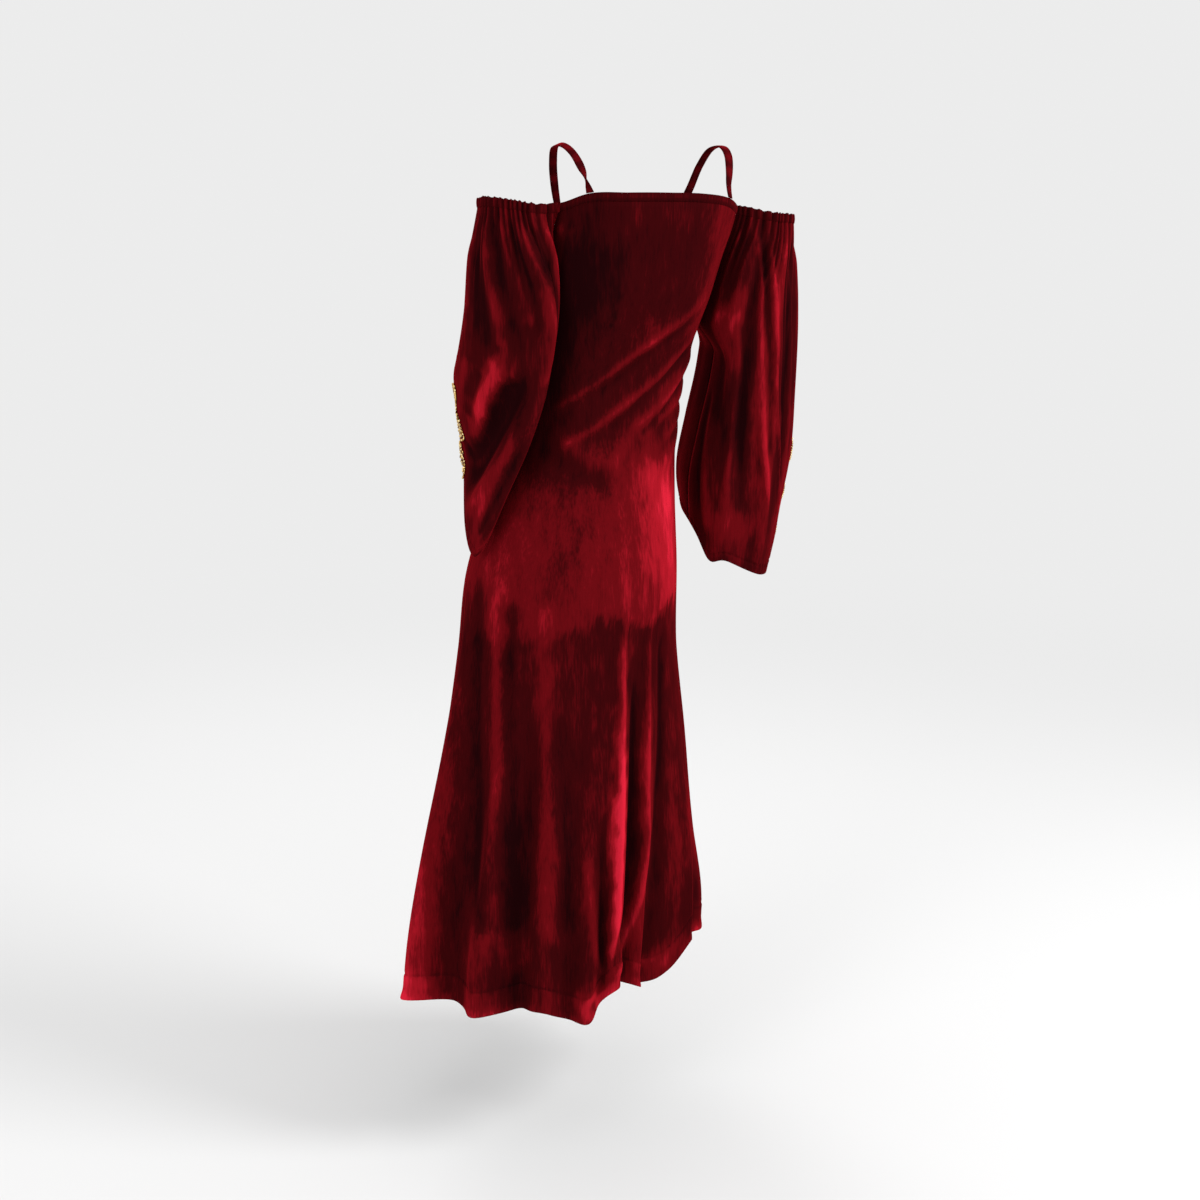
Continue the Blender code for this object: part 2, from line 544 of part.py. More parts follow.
def motif_grids(sleeve, out, motif):
    """Both sides of a leaf that lies on the sleeve, in rows along the leaf."""
    across_points, along_points = MOTIF_GRID
    rows, columns = sleeve.shape[:2]
    width = np.linalg.norm(np.diff(sleeve[-4], axis=0), axis=1).sum()
    length = np.linalg.norm(np.diff(sleeve[ARMHOLE_ROWS:, columns // 2], axis=0), axis=1).sum()
    along = np.linspace(-1, 1, along_points)
    half = motif.width / 2 * (MOTIF_TIP + (1 - MOTIF_TIP) * np.sqrt(1 - along**2))
    over = np.linspace(-1, 1, across_points)[None, :] * half[:, None]
    share = motif.share + along[:, None] * motif.length / 2 / length * (1 - UNDERARM_SHARE) + 0 * over
    row = ARMHOLE_ROWS + (share - UNDERARM_SHARE) / (1 - UNDERARM_SHARE) * (rows - 1 - ARMHOLE_ROWS)
    column = (motif.across + over / width) * (columns - 1)
    points, away = on_grid(sleeve, row, column), on_grid(out, row, column)
    return points + away * (MOTIF_LIFT + MOTIF_HEIGHT), points + away * MOTIF_LIFT


def on_grid(grid, row, column):
    """Values of a grid between its points, on the same two triangles that each cell is cut into."""
    r = np.clip(np.floor(row).astype(int), 0, grid.shape[0] - 2)
    c = np.clip(np.floor(column).astype(int), 0, grid.shape[1] - 2)
    u, v = (row - r)[..., None], (column - c)[..., None]
    a, b, low_a, low_b = grid[r, c], grid[r, c + 1], grid[r + 1, c], grid[r + 1, c + 1]
    return np.where(u + v <= 1, a + u * (low_a - a) + v * (b - a),
                    low_b + (1 - u) * (b - low_b) + (1 - v) * (low_a - low_b))


def strap_end(angle, turn):
    """A strap's end on the top edge of a neck band, as a row of the strap's table."""
    x, y, z = body_points(angle, neck_drop(np.array([angle])))[0]
    return StrapPoint(abs(x), y, -z, turn)


def along_band(angle):
    """The level direction along a neck band, towards the wearer's left."""
    step = body_points(angle + 2, 0.07)[0] - body_points(angle - 2, 0.07)[0]
    return step * np.sign(step[0]) / np.linalg.norm(step)


def strap_corners(side):
    """Rings of four corners along a strap, which is a ribbon that can turn over."""
    over_shoulder = STRAPS[side]
    start = strap_end(STRAP_BACK_ANGLE[side], 0)
    rows = [start, *over_shoulder, strap_end(STRAP_FRONT_ANGLE[side], over_shoulder[-1].turn)]
    points = np.array([row[:3] for row in rows])
    share = np.append(0, np.cumsum(np.linalg.norm(np.diff(points, axis=0), axis=1)))
    found = through(share, rows, np.linspace(0, share[-1], STRAP_POINTS))
    path = found[:, :3] * (side, 1, -1)
    along = np.gradient(path, axis=0)
    along /= np.linalg.norm(along, axis=1)[:, None]
    share = np.linspace(0, 1, STRAP_POINTS)[:, None]
    sideways = np.array([1.0, 0, 0])
    over = sideways + (along_band(STRAP_BACK_ANGLE[side]) - sideways) * (1 - rise(share, 0, STRAP_SETTLE))
    over = over + (along_band(STRAP_FRONT_ANGLE[side]) - sideways) * rise(share, 1 - STRAP_SETTLE, 1)
    over = over - along * np.sum(over * along, axis=1)[:, None]
    over /= np.linalg.norm(over, axis=1)[:, None]
    up = np.cross(over, along)
    turn = np.radians(found[:, 3])[:, None]
    wide = over * np.cos(turn) + up * np.sin(turn)
    thick = np.cross(wide, along) * STRAP_THICKNESS / 2
    wide = wide * STRAP_WIDTH / 2
    corners = [path + wide + thick, path - wide + thick, path - wide - thick, path + wide - thick]
    rings = np.stack(corners, axis=1)
    for end, front in ((0, False), (-1, True)):
        x, y = (rings[end, :, :2] - body_centre(-rings[end, :, 2])).T
        angle = np.degrees(np.arctan2(y, x)) % 360
        band = band_angles(front)
        rings[end, :, 2] = STRAP_GAP - np.interp(angle, band, neck_drop(band))
    return rings


def material(name, look):
    made = bpy.data.materials.new(name)
    made.use_nodes = True
    shader = made.node_tree.nodes["Principled BSDF"]
    shader.inputs["Base Color"].default_value = (look.red, look.green, look.blue, 1)
    shader.inputs["Metallic"].default_value = look.metallic
    shader.inputs["Roughness"].default_value = look.roughness
    return made


def add_object(name, points, faces, look):
    mesh = bpy.data.meshes.new(name)
    mesh.from_pydata([tuple(p) for p in points], [], faces)
    made = bpy.data.objects.new(name, mesh)
    mesh.materials.append(material(name, look))
    gown.objects.link(made)
    return made


def sheet_faces(rows, columns):
    """Triangles of a grid, cut from the lower left to the upper right of each cell."""
    faces = []
    for r in range(rows - 1):
        for c in range(columns - 1):
            a, b = r * columns + c, r * columns + c + 1
            faces += [(a, a + columns, b), (b, a + columns, b + columns)]
    return faces


def add_sheet(name, outer, inner, facing, look):
    """A closed wall between two grids. Facing is -1 where the grid's columns run the other way."""
    if facing < 0:
        outer, inner = outer[:, ::-1], inner[:, ::-1]
    rows, columns = outer.shape[:2]
    count = rows * columns
    inside = sheet_faces(rows, columns)
    faces = [tuple(reversed(face)) for face in inside]
    faces += [tuple(count + corner for corner in face) for face in inside]
    rim = list(range(columns))
    rim += [r * columns + columns - 1 for r in range(1, rows)]
    rim += [(rows - 1) * columns + c for c in range(columns - 2, -1, -1)]
    rim += [r * columns for r in range(rows - 2, 0, -1)]
    for a, b in zip(rim, rim[1:] + rim[:1]):
        faces += [(a, count + b, b), (a, count + a, count + b)]
    points = np.concatenate([outer.reshape(-1, 3), inner.reshape(-1, 3)])
    return add_object(name, points, faces, look)


def add_strap(name, rings, look):
    count = len(rings)
    faces = [(0, 1, 2, 3), tuple(4 * count - 4 + k for k in (3, 2, 1, 0))]
    for k in range(count - 1):
        for corner in range(4):
            a, b = 4 * k + corner, 4 * k + (corner + 1) % 4
            faces += [(a, a + 4, b), (b, a + 4, b + 4)]
    return add_object(name, rings.reshape(-1, 3), faces, look)


for old in list(bpy.data.objects):
    bpy.data.objects.remove(old)
gown = bpy.data.collections.new("cold_shoulder_gown")
bpy.context.scene.collection.children.link(gown)

for front, name in ((False, "back"), (True, "front")):
    add_sheet(f"{name}_panel", *panel_grids(front), BODY_FACING, VELVET)
    add_sheet(f"{name}_neck_band", *neck_band_grids(front), BODY_FACING, BINDING)

for side, name in ((LEFT, "left"), (RIGHT, "right")):
    sleeve = sleeve_grid(side)
    out = sleeve_normals(side, sleeve)
    add_sheet(f"{name}_sleeve", sleeve, sleeve - out * WALL, side, VELVET)
    add_sheet(f"{name}_sleeve_casing", *casing_grids(sleeve, out), side, BINDING)
    add_strap(f"{name}_strap", strap_corners(side), BINDING)
    for number, motif in enumerate(MOTIFS[side], start=1):
        add_sheet(f"{name}_bead_motif_{number}", *motif_grids(sleeve, out, motif), side, BEADS)
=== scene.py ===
# %% [markdown]
# # A cold-shoulder gown in silk velvet
#
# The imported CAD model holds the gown's main shapes: two body panels, two sleeves, the bands, the
# straps and the beaded motifs. This lesson dresses it: the same forms again as thin cloth with
# finer folds, gathers, hems and stitches, and a velvet whose pile catches the light. The CAD model
# stays as a fixed frame, in metres, with +Z up, -Y to the wearer's front and +X to their left.

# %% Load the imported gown
import json
import math
from collections import namedtuple

import bpy
import numpy as np
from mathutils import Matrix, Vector
from mathutils import noise as random_field

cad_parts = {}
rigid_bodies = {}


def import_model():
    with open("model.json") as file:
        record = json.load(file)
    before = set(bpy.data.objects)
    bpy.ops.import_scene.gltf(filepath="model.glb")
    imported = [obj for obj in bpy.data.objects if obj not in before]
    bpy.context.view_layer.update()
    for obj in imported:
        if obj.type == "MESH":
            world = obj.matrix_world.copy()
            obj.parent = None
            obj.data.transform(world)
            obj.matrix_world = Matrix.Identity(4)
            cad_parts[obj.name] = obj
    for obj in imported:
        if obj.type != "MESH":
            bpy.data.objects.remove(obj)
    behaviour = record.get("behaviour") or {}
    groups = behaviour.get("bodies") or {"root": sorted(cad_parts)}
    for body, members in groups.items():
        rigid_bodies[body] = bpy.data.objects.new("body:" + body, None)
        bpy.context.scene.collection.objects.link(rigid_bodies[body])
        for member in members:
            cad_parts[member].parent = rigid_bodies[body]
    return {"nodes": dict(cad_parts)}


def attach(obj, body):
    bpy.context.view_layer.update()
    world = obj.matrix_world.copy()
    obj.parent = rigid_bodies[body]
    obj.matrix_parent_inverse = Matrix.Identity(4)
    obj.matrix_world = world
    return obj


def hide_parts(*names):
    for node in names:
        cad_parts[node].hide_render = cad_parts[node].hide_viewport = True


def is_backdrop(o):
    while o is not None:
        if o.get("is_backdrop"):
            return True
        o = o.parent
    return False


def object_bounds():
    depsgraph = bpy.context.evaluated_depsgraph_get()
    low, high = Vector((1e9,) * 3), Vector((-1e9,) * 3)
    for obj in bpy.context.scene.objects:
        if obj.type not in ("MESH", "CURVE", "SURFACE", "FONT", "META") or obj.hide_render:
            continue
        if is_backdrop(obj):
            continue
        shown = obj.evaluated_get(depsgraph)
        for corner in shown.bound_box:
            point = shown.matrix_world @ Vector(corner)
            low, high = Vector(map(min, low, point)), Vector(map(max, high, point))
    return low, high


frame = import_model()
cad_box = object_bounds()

print("CAD nodes:", ", ".join(sorted(frame["nodes"])))

# %% [markdown]
# ## Camera
#
# The photo is taken from behind and to the wearer's left of straight back, with the lens level
# with the shoulders and tilted down. A camera can be aimed by hand, but a place, a compass
# direction and a tilt say the same thing in three numbers that are easy to check, so the look
# direction is worked out from them.

# %% The camera behind the gown
CAMERA_PLACE = (0.8652, 2.2179, 0.0)
CAMERA_LOOK = (-0.3420, -0.9397)     # level direction from the camera to the gown
CAMERA_TILT = math.radians(15)       # downwards
LENS = 50.64                         # millimetres, on a sensor 36 mm wide

camera_data = bpy.data.cameras.new("camera")
camera_data.lens = LENS
camera_data.sensor_width = 36
camera = bpy.data.objects.new("camera", camera_data)
bpy.context.scene.collection.objects.link(camera)
camera.location = CAMERA_PLACE
look = Vector((*(part * math.cos(CAMERA_TILT) for part in CAMERA_LOOK), -math.sin(CAMERA_TILT)))
camera.rotation_euler = look.to_track_quat("-Z", "Y").to_euler()
bpy.context.scene.camera = camera
print("camera looks along", [round(part, 3) for part in look])

# %% [markdown]
# ## Floor and light
#
# The gown is shown alone over a plain pale floor, at the height where its wearer would stand. The
# floor is one big disc and the sky has the same pale colour, so no horizon shows. Velvet needs
# light from the side: its pile is bright where light skims it, so a large soft lamp stands to the
# right of the camera and above, and a weaker one fills in from the left. A third lights the front
# of the gown, which the camera doesn't see.

# %% Floor, sky and lamps
FLOOR_HEIGHT = -1.43
PALE = (0.84, 0.84, 0.84, 1)
FLOOR_PAINT = (0.70, 0.70, 0.70, 1)
FLOOR_FADE = (0.8, 3.6)      # metres from the middle over which the floor turns into the sky's colour

bpy.ops.object.select_all(action="DESELECT")
bpy.ops.mesh.primitive_circle_add(vertices=96, radius=14, fill_type="NGON", location=(0, 0, FLOOR_HEIGHT))
floor = bpy.context.object
floor.name = "studio_floor"
floor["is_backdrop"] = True

paint = bpy.data.materials.new("pale_floor")
paint.use_nodes = True
nodes, links = paint.node_tree.nodes, paint.node_tree.links
nodes["Principled BSDF"].inputs["Base Color"].default_value = FLOOR_PAINT
nodes["Principled BSDF"].inputs["Roughness"].default_value = 0.9
place = nodes.new("ShaderNodeTexCoord")
length = nodes.new("ShaderNodeVectorMath")
length.operation = "LENGTH"
links.new(place.outputs["Object"], length.inputs[0])
far = nodes.new("ShaderNodeMapRange")
far.interpolation_type = "SMOOTHERSTEP"
far.inputs["From Min"].default_value, far.inputs["From Max"].default_value = FLOOR_FADE
links.new(length.outputs["Value"], far.inputs["Value"])
glow = nodes.new("ShaderNodeEmission")
glow.inputs["Color"].default_value = PALE
mix = nodes.new("ShaderNodeMixShader")
links.new(far.outputs["Result"], mix.inputs["Fac"])
links.new(nodes["Principled BSDF"].outputs["BSDF"], mix.inputs[1])
links.new(glow.outputs["Emission"], mix.inputs[2])
links.new(mix.outputs["Shader"], nodes["Material Output"].inputs["Surface"])
floor.data.materials.append(paint)

sky = bpy.data.worlds.new("pale_sky")
bpy.context.scene.world = sky
sky.use_nodes = True
sky.node_tree.nodes["Background"].inputs["Color"].default_value = PALE
sky.node_tree.nodes["Background"].inputs["Strength"].default_value = 1.0
bpy.context.scene.view_settings.view_transform = "Standard"

Lamp = namedtuple("Lamp", "name place aim size watts")
LAMPS = [
    Lamp("key_lamp", (-2.3, 1.5, 1.5), (0, 0, -0.55), 1.3, 80),
    Lamp("fill_lamp", (2.6, 1.6, 0.6), (0, 0, -0.5), 1.6, 28),
    Lamp("front_lamp", (0.6, -3.0, 1.2), (0, 0, -0.5), 2.0, 30),
]
for lamp in LAMPS:
    light = bpy.data.lights.new(lamp.name, "AREA")
    light.shape = "DISK"
    light.size = lamp.size
    light.energy = lamp.watts
    holder = bpy.data.objects.new(lamp.name, light)
    bpy.context.scene.collection.objects.link(holder)
    holder.location = lamp.place
    aim = Vector(lamp.aim) - Vector(lamp.place)
    holder.rotation_euler = aim.to_track_quat("-Z", "Y").to_euler()
print("lamps:", [lamp.name for lamp in LAMPS])

# %% [markdown]
# ## Sizes and curves
#
# The cloth follows the frame exactly, so it is worked out from the same named sizes and tables as
# the CAD source. A drop is a distance straight down from the shoulders. Three small helpers do the
# shaping: a smooth curve through table values, a soft step, and a soft bump.

# %% Sizes of the cloth
WALL = 0.0018            # velvet, pile and backing
BAND_WALL = 0.0030       # the neck bands and the elastic casings are folded double
SEAM_GAP = 0.0003
BAND_HEIGHT = 0.012
STRAP_WIDTH = 0.0115
STRAP_THICKNESS = 0.0028
STRAP_GAP = 0.0006       # from a strap's end to the top edge of a neck band
UNDERARM_DROP = 0.235
WAIST_END_DROP = 0.455
SLIT_DROP = 0.868        # top of the slit in the right side seam
STRAP_POINTS = 25
LEFT, RIGHT = 1, -1      # which side of the wearer, as the sign of X
SIDES = ((LEFT, "left"), (RIGHT, "right"))


def table(kind, rows):
    return [kind(*row) for row in rows]


def through(keys, values, at):
    """A smooth curve through the values at the keys. Values may have several columns."""
    keys = np.asarray(keys, float)
    values = np.asarray(values, float)
    at = np.clip(np.atleast_1d(np.asarray(at, float)), keys[0], keys[-1])
    slopes = np.gradient(values, keys, axis=0)
    low = np.clip(np.searchsorted(keys, at, side="right") - 1, 0, len(keys) - 2)
    span = keys[low + 1] - keys[low]
    t = (at - keys[low]) / span
    if values.ndim > 1:
        t, span = t[:, None], span[:, None]
    return (
        values[low] * (1 + 2 * t) * (1 - t) ** 2
        + slopes[low] * span * t * (1 - t) ** 2
        + values[low + 1] * t * t * (3 - 2 * t)
        + slopes[low + 1] * span * t * t * (t - 1)
    )


def rise(value, start, end):
    """0 before start, 1 after end, and smooth between them."""
    t = np.clip((value - start) / (end - start), 0, 1)
    return t * t * (3 - 2 * t)


def bump(distance, width):
    return np.exp(-((distance / width) ** 2))


print("wall of the cloth:", WALL * 1000, "mm")

# %% [markdown]
# ## The form of the body
#
# A gown filled out by a figure is a tube whose level sections change smoothly. Fifteen sections say
# how far it reaches in eight directions from its middle, and everything between is a smooth curve.
# The skirt's folds and the folds that drag across the waist are lifted off that form.

# %% Sections and large folds of the body
# The body of the gown: centre of each level section and its reach from there in eight directions.
Section = namedtuple(
    "Section",
    "drop centre_x centre_y left back_left back back_right right front_right front front_left",
)
BODY_SECTIONS = table(Section, [
    (0.050, -0.004, 0.000, 0.138, 0.117, 0.096, 0.117, 0.138, 0.110, 0.096, 0.110),
    (0.085, 0.000, -0.001, 0.138, 0.117, 0.096, 0.117, 0.139, 0.116, 0.103, 0.116),
    (0.152, 0.016, -0.005, 0.134, 0.115, 0.094, 0.116, 0.135, 0.128, 0.118, 0.128),
    (0.208, 0.028, -0.008, 0.128, 0.111, 0.089, 0.112, 0.131, 0.133, 0.127, 0.133),
    (0.246, 0.038, -0.012, 0.122, 0.106, 0.083, 0.106, 0.128, 0.128, 0.121, 0.128),
    (0.290, 0.048, -0.016, 0.116, 0.099, 0.076, 0.098, 0.124, 0.112, 0.101, 0.112),
    (0.340, 0.055, -0.021, 0.114, 0.094, 0.073, 0.093, 0.121, 0.100, 0.085, 0.101),
    (0.395, 0.055, -0.025, 0.117, 0.094, 0.077, 0.092, 0.119, 0.095, 0.080, 0.098),
    (0.480, 0.067, -0.030, 0.143, 0.114, 0.104, 0.112, 0.131, 0.107, 0.090, 0.110),
    (0.580, 0.083, -0.034, 0.161, 0.139, 0.131, 0.136, 0.150, 0.124, 0.105, 0.128),
    (0.700, 0.094, -0.033, 0.166, 0.147, 0.136, 0.142, 0.162, 0.138, 0.116, 0.141),
    (0.850, 0.103, -0.029, 0.180, 0.156, 0.142, 0.152, 0.187, 0.162, 0.131, 0.160),
    (1.000, 0.112, -0.024, 0.196, 0.166, 0.149, 0.156, 0.212, 0.188, 0.148, 0.182),
    (1.125, 0.118, -0.021, 0.208, 0.172, 0.153, 0.156, 0.234, 0.206, 0.161, 0.198),
    (1.230, 0.120, -0.020, 0.216, 0.174, 0.152, 0.150, 0.229, 0.208, 0.170, 0.206),
])
DIRECTIONS = 8
DIRECTION_STEP = 360 / DIRECTIONS

# Folds that run down the skirt. Positive depths are ridges and negative ones are troughs.
SkirtFold = namedtuple("SkirtFold", "angle_top angle_hem start full depth width")
SKIRT_FOLDS = table(SkirtFold, [
    (4, 5, 0.62, 1.20, 0.036, 7.0),
    (24, 18, 0.70, 1.20, -0.012, 7.0),
    (44, 35, 0.50, 1.20, 0.024, 6.0),
    (56, 51, 0.58, 1.20, -0.020, 6.0),
    (68, 67, 0.62, 1.20, 0.006, 6.0),
    (79, 77, 0.70, 1.20, -0.008, 5.5),
    (90, 87, 0.75, 1.20, 0.010, 5.5),
    (99, 96, 0.80, 1.20, -0.009, 5.0),
    (108, 105, 0.56, 1.10, 0.012, 5.0),
    (117, 113, 0.60, 1.15, -0.012, 5.0),
    (127, 121, 0.66, 1.15, 0.010, 5.0),
    (137, 131, 0.70, 1.20, -0.012, 5.5),
    (196, 196, 0.80, 1.20, -0.016, 7.0),
    (213, 212, 0.66, 1.20, 0.018, 8.0),
    (232, 231, 0.62, 1.20, -0.016, 8.0),
    (252, 252, 0.60, 1.20, 0.017, 8.0),
    (272, 272, 0.66, 1.20, -0.015, 8.0),
    (292, 293, 0.62, 1.20, 0.018, 8.0),
    (314, 315, 0.66, 1.20, -0.015, 8.0),
    (336, 337, 0.70, 1.20, 0.012, 8.0),
])
HEM_DROP = 1.20

# Folds that drag across the waist, from the right side seam down towards the left hip.
DragFold = namedtuple("DragFold", "angle_from drop_from angle_to drop_to sag depth width")
DRAG_FOLDS = table(DragFold, [
    (172, 0.262, 74, 0.372, 0.016, 0.0060, 0.018),
    (177, 0.290, 62, 0.432, 0.018, 0.0075, 0.018),
    (180, 0.325, 84, 0.456, 0.014, 0.0060, 0.017),
    (184, 0.362, 112, 0.456, 0.008, 0.0050, 0.016),
    (188, 0.270, 262, 0.350, 0.014, 0.0055, 0.020),
    (184, 0.325, 250, 0.425, 0.012, 0.0050, 0.019),
])
DRAG_STEPS = 9
WAIST_RADIUS = 0.105     # turns an angle round the waist into a length

# The hem's drop, round the skirt, and the side seams' angles, down it.
HemPoint = namedtuple("HemPoint", "angle drop")
HEM = table(HemPoint, [
    (0, 1.216), (14, 1.208), (30, 1.208), (52, 1.206),
    (66, 1.204), (78, 1.222), (88, 1.224), (96, 1.208),
    (104, 1.184), (116, 1.190), (130, 1.206), (146, 1.196),
    (157, 1.160), (170, 1.170), (200, 1.196), (230, 1.206),
    (300, 1.210), (360, 1.216),
])
SeamPoint = namedtuple("SeamPoint", "drop left right")
SIDE_SEAMS = table(SeamPoint, [
    (0.040, 0.0, 180.0), (0.400, 0.0, 180.0), (0.600, 1.0, 172.0),
    (0.860, 3.0, 161.0), (1.230, 5.0, 155.0),
])
SLIT_OPENING = 0.16      # the drop over which the slit comes open
SLIT_BACK_LIFT = 0.010   # its back edge stands out from the skirt
SLIT_FRONT_TUCK = 0.004  # and its front edge lies inside
SLIT_REACH = 12.0        # degrees of the skirt that it disturbs

# The neckline's drop, and how far round from the side seams the armholes end there.
NeckPoint = namedtuple("NeckPoint", "angle drop")
NECKLINE = table(NeckPoint, [
    (0, 0.071), (15.5, 0.0705), (34, 0.058), (60, 0.0565),
    (90, 0.057), (120, 0.059), (146, 0.066), (164.5, 0.077),
    (180, 0.080), (207, 0.094), (230, 0.102), (270, 0.110),
    (310, 0.097), (333, 0.086), (360, 0.071),
])
ARMHOLE_BACK = 15.5
ARMHOLE_FRONT = 27.0
ARMHOLE_CURVE = 0.8
SEAM_RADIUS = 0.13       # of the body at the seams, about, which turns a small gap into degrees


def turn_between(angle, other):
    """The signed turn from one angle to another, in degrees, from -180 to 180."""
    return (angle - other + 180) % 360 - 180


def reach_at(reaches, angle):
    """The reach in a direction, smooth between the eight that a section gives."""
    step = angle / DIRECTION_STEP
    low = np.floor(step).astype(int)
    t = step - low
    row = np.arange(len(step))
    before, start, end, after = (reaches[row, (low + k) % DIRECTIONS] for k in (-1, 0, 1, 2))
    return 0.5 * (
        2 * start
        + (end - before) * t
        + (2 * before - 5 * start + 4 * end - after) * t**2
        + (3 * start - before - 3 * end + after) * t**3
    )


def skirt_folds(angle, drop):
    out = np.zeros_like(angle)
    for fold in SKIRT_FOLDS:
        down = rise(drop, fold.start, fold.full)
        line = fold.angle_top + (fold.angle_hem - fold.angle_top) * rise(drop, fold.start, HEM_DROP)
        out += fold.depth * down * bump(turn_between(angle, line), fold.width)
    return out


def nearest_on_line(points, line):
    """Distance from each point to a polyline, and the share of it where the nearest place is."""
    best = np.full(len(points), np.inf)
    along = np.zeros(len(points))
    pieces = len(line) - 1
    for k in range(pieces):
        start, step = line[k], line[k + 1] - line[k]
        t = np.clip((points - start) @ step / (step @ step), 0, 1)
        distance = np.linalg.norm(points - start - t[:, None] * step, axis=1)
        closer = distance < best
        best[closer] = distance[closer]
        along[closer] = ((k + t) / pieces)[closer]
    return best, along


def drag_folds(angle, drop):
    out = np.zeros_like(angle)
    flat = np.column_stack([np.radians(angle % 360) * WAIST_RADIUS, drop])
    share = np.linspace(0, 1, DRAG_STEPS)
    for fold in DRAG_FOLDS:
        turn = np.radians(fold.angle_from + (fold.angle_to - fold.angle_from) * share)
        level = fold.drop_from + (fold.drop_to - fold.drop_from) * share
        level = level + fold.sag * np.sin(np.pi * share)
        distance, along = nearest_on_line(flat, np.column_stack([turn * WAIST_RADIUS, level]))
        out += fold.depth * np.sin(np.pi * along) * bump(distance, fold.width)
    return out


def body_points(angle, drop, out=0.0):
    """Points of the gown's body at these angles and drops, moved out by a further distance."""
    angle, drop = np.broadcast_arrays(np.atleast_1d(angle).astype(float), drop)
    rows = [section[1:] for section in BODY_SECTIONS]
    found = through([section.drop for section in BODY_SECTIONS], rows, drop)
    reach = reach_at(found[:, 2:], angle % 360) + skirt_folds(angle, drop)
    reach = reach + drag_folds(angle, drop) + out
    turn = np.radians(angle)
    across = found[:, 0] + reach * np.cos(turn)
    along = found[:, 1] + reach * np.sin(turn)
    return np.column_stack([across, along, -drop])


def neck_drop(angle):
    return through([p.angle for p in NECKLINE], [p.drop for p in NECKLINE], angle % 360)


def panel_top(angle):
    return neck_drop(angle) + BAND_HEIGHT + SEAM_GAP


def hem_drop(angle):
    return through([p.angle for p in HEM], [p.drop for p in HEM], angle % 360)


def edge_angle(side, front, drop):
    """The angle of a panel's edge: along the armhole, then down the side seam."""
    seam = through([p.drop for p in SIDE_SEAMS], [p[1:] for p in SIDE_SEAMS], drop)
    seam = seam[:, 0] if side == LEFT else seam[:, 1]
    width = ARMHOLE_FRONT if front else ARMHOLE_BACK
    towards = 1 if (side == LEFT) != front else -1
    corner = (0 if side == LEFT else 180) + towards * width
    top = neck_drop(np.array([corner]))
    left = np.clip((UNDERARM_DROP - drop) / (UNDERARM_DROP - top), 0, 1)
    turn = 360 if side == LEFT and front else 0
    return turn + seam + towards * width * left**ARMHOLE_CURVE


def seam_turn(distance):
    """Degrees that a distance takes up on the body of the gown."""
    return math.degrees(distance / SEAM_RADIUS)


print("sections:", len(BODY_SECTIONS), "skirt folds:", len(SKIRT_FOLDS))
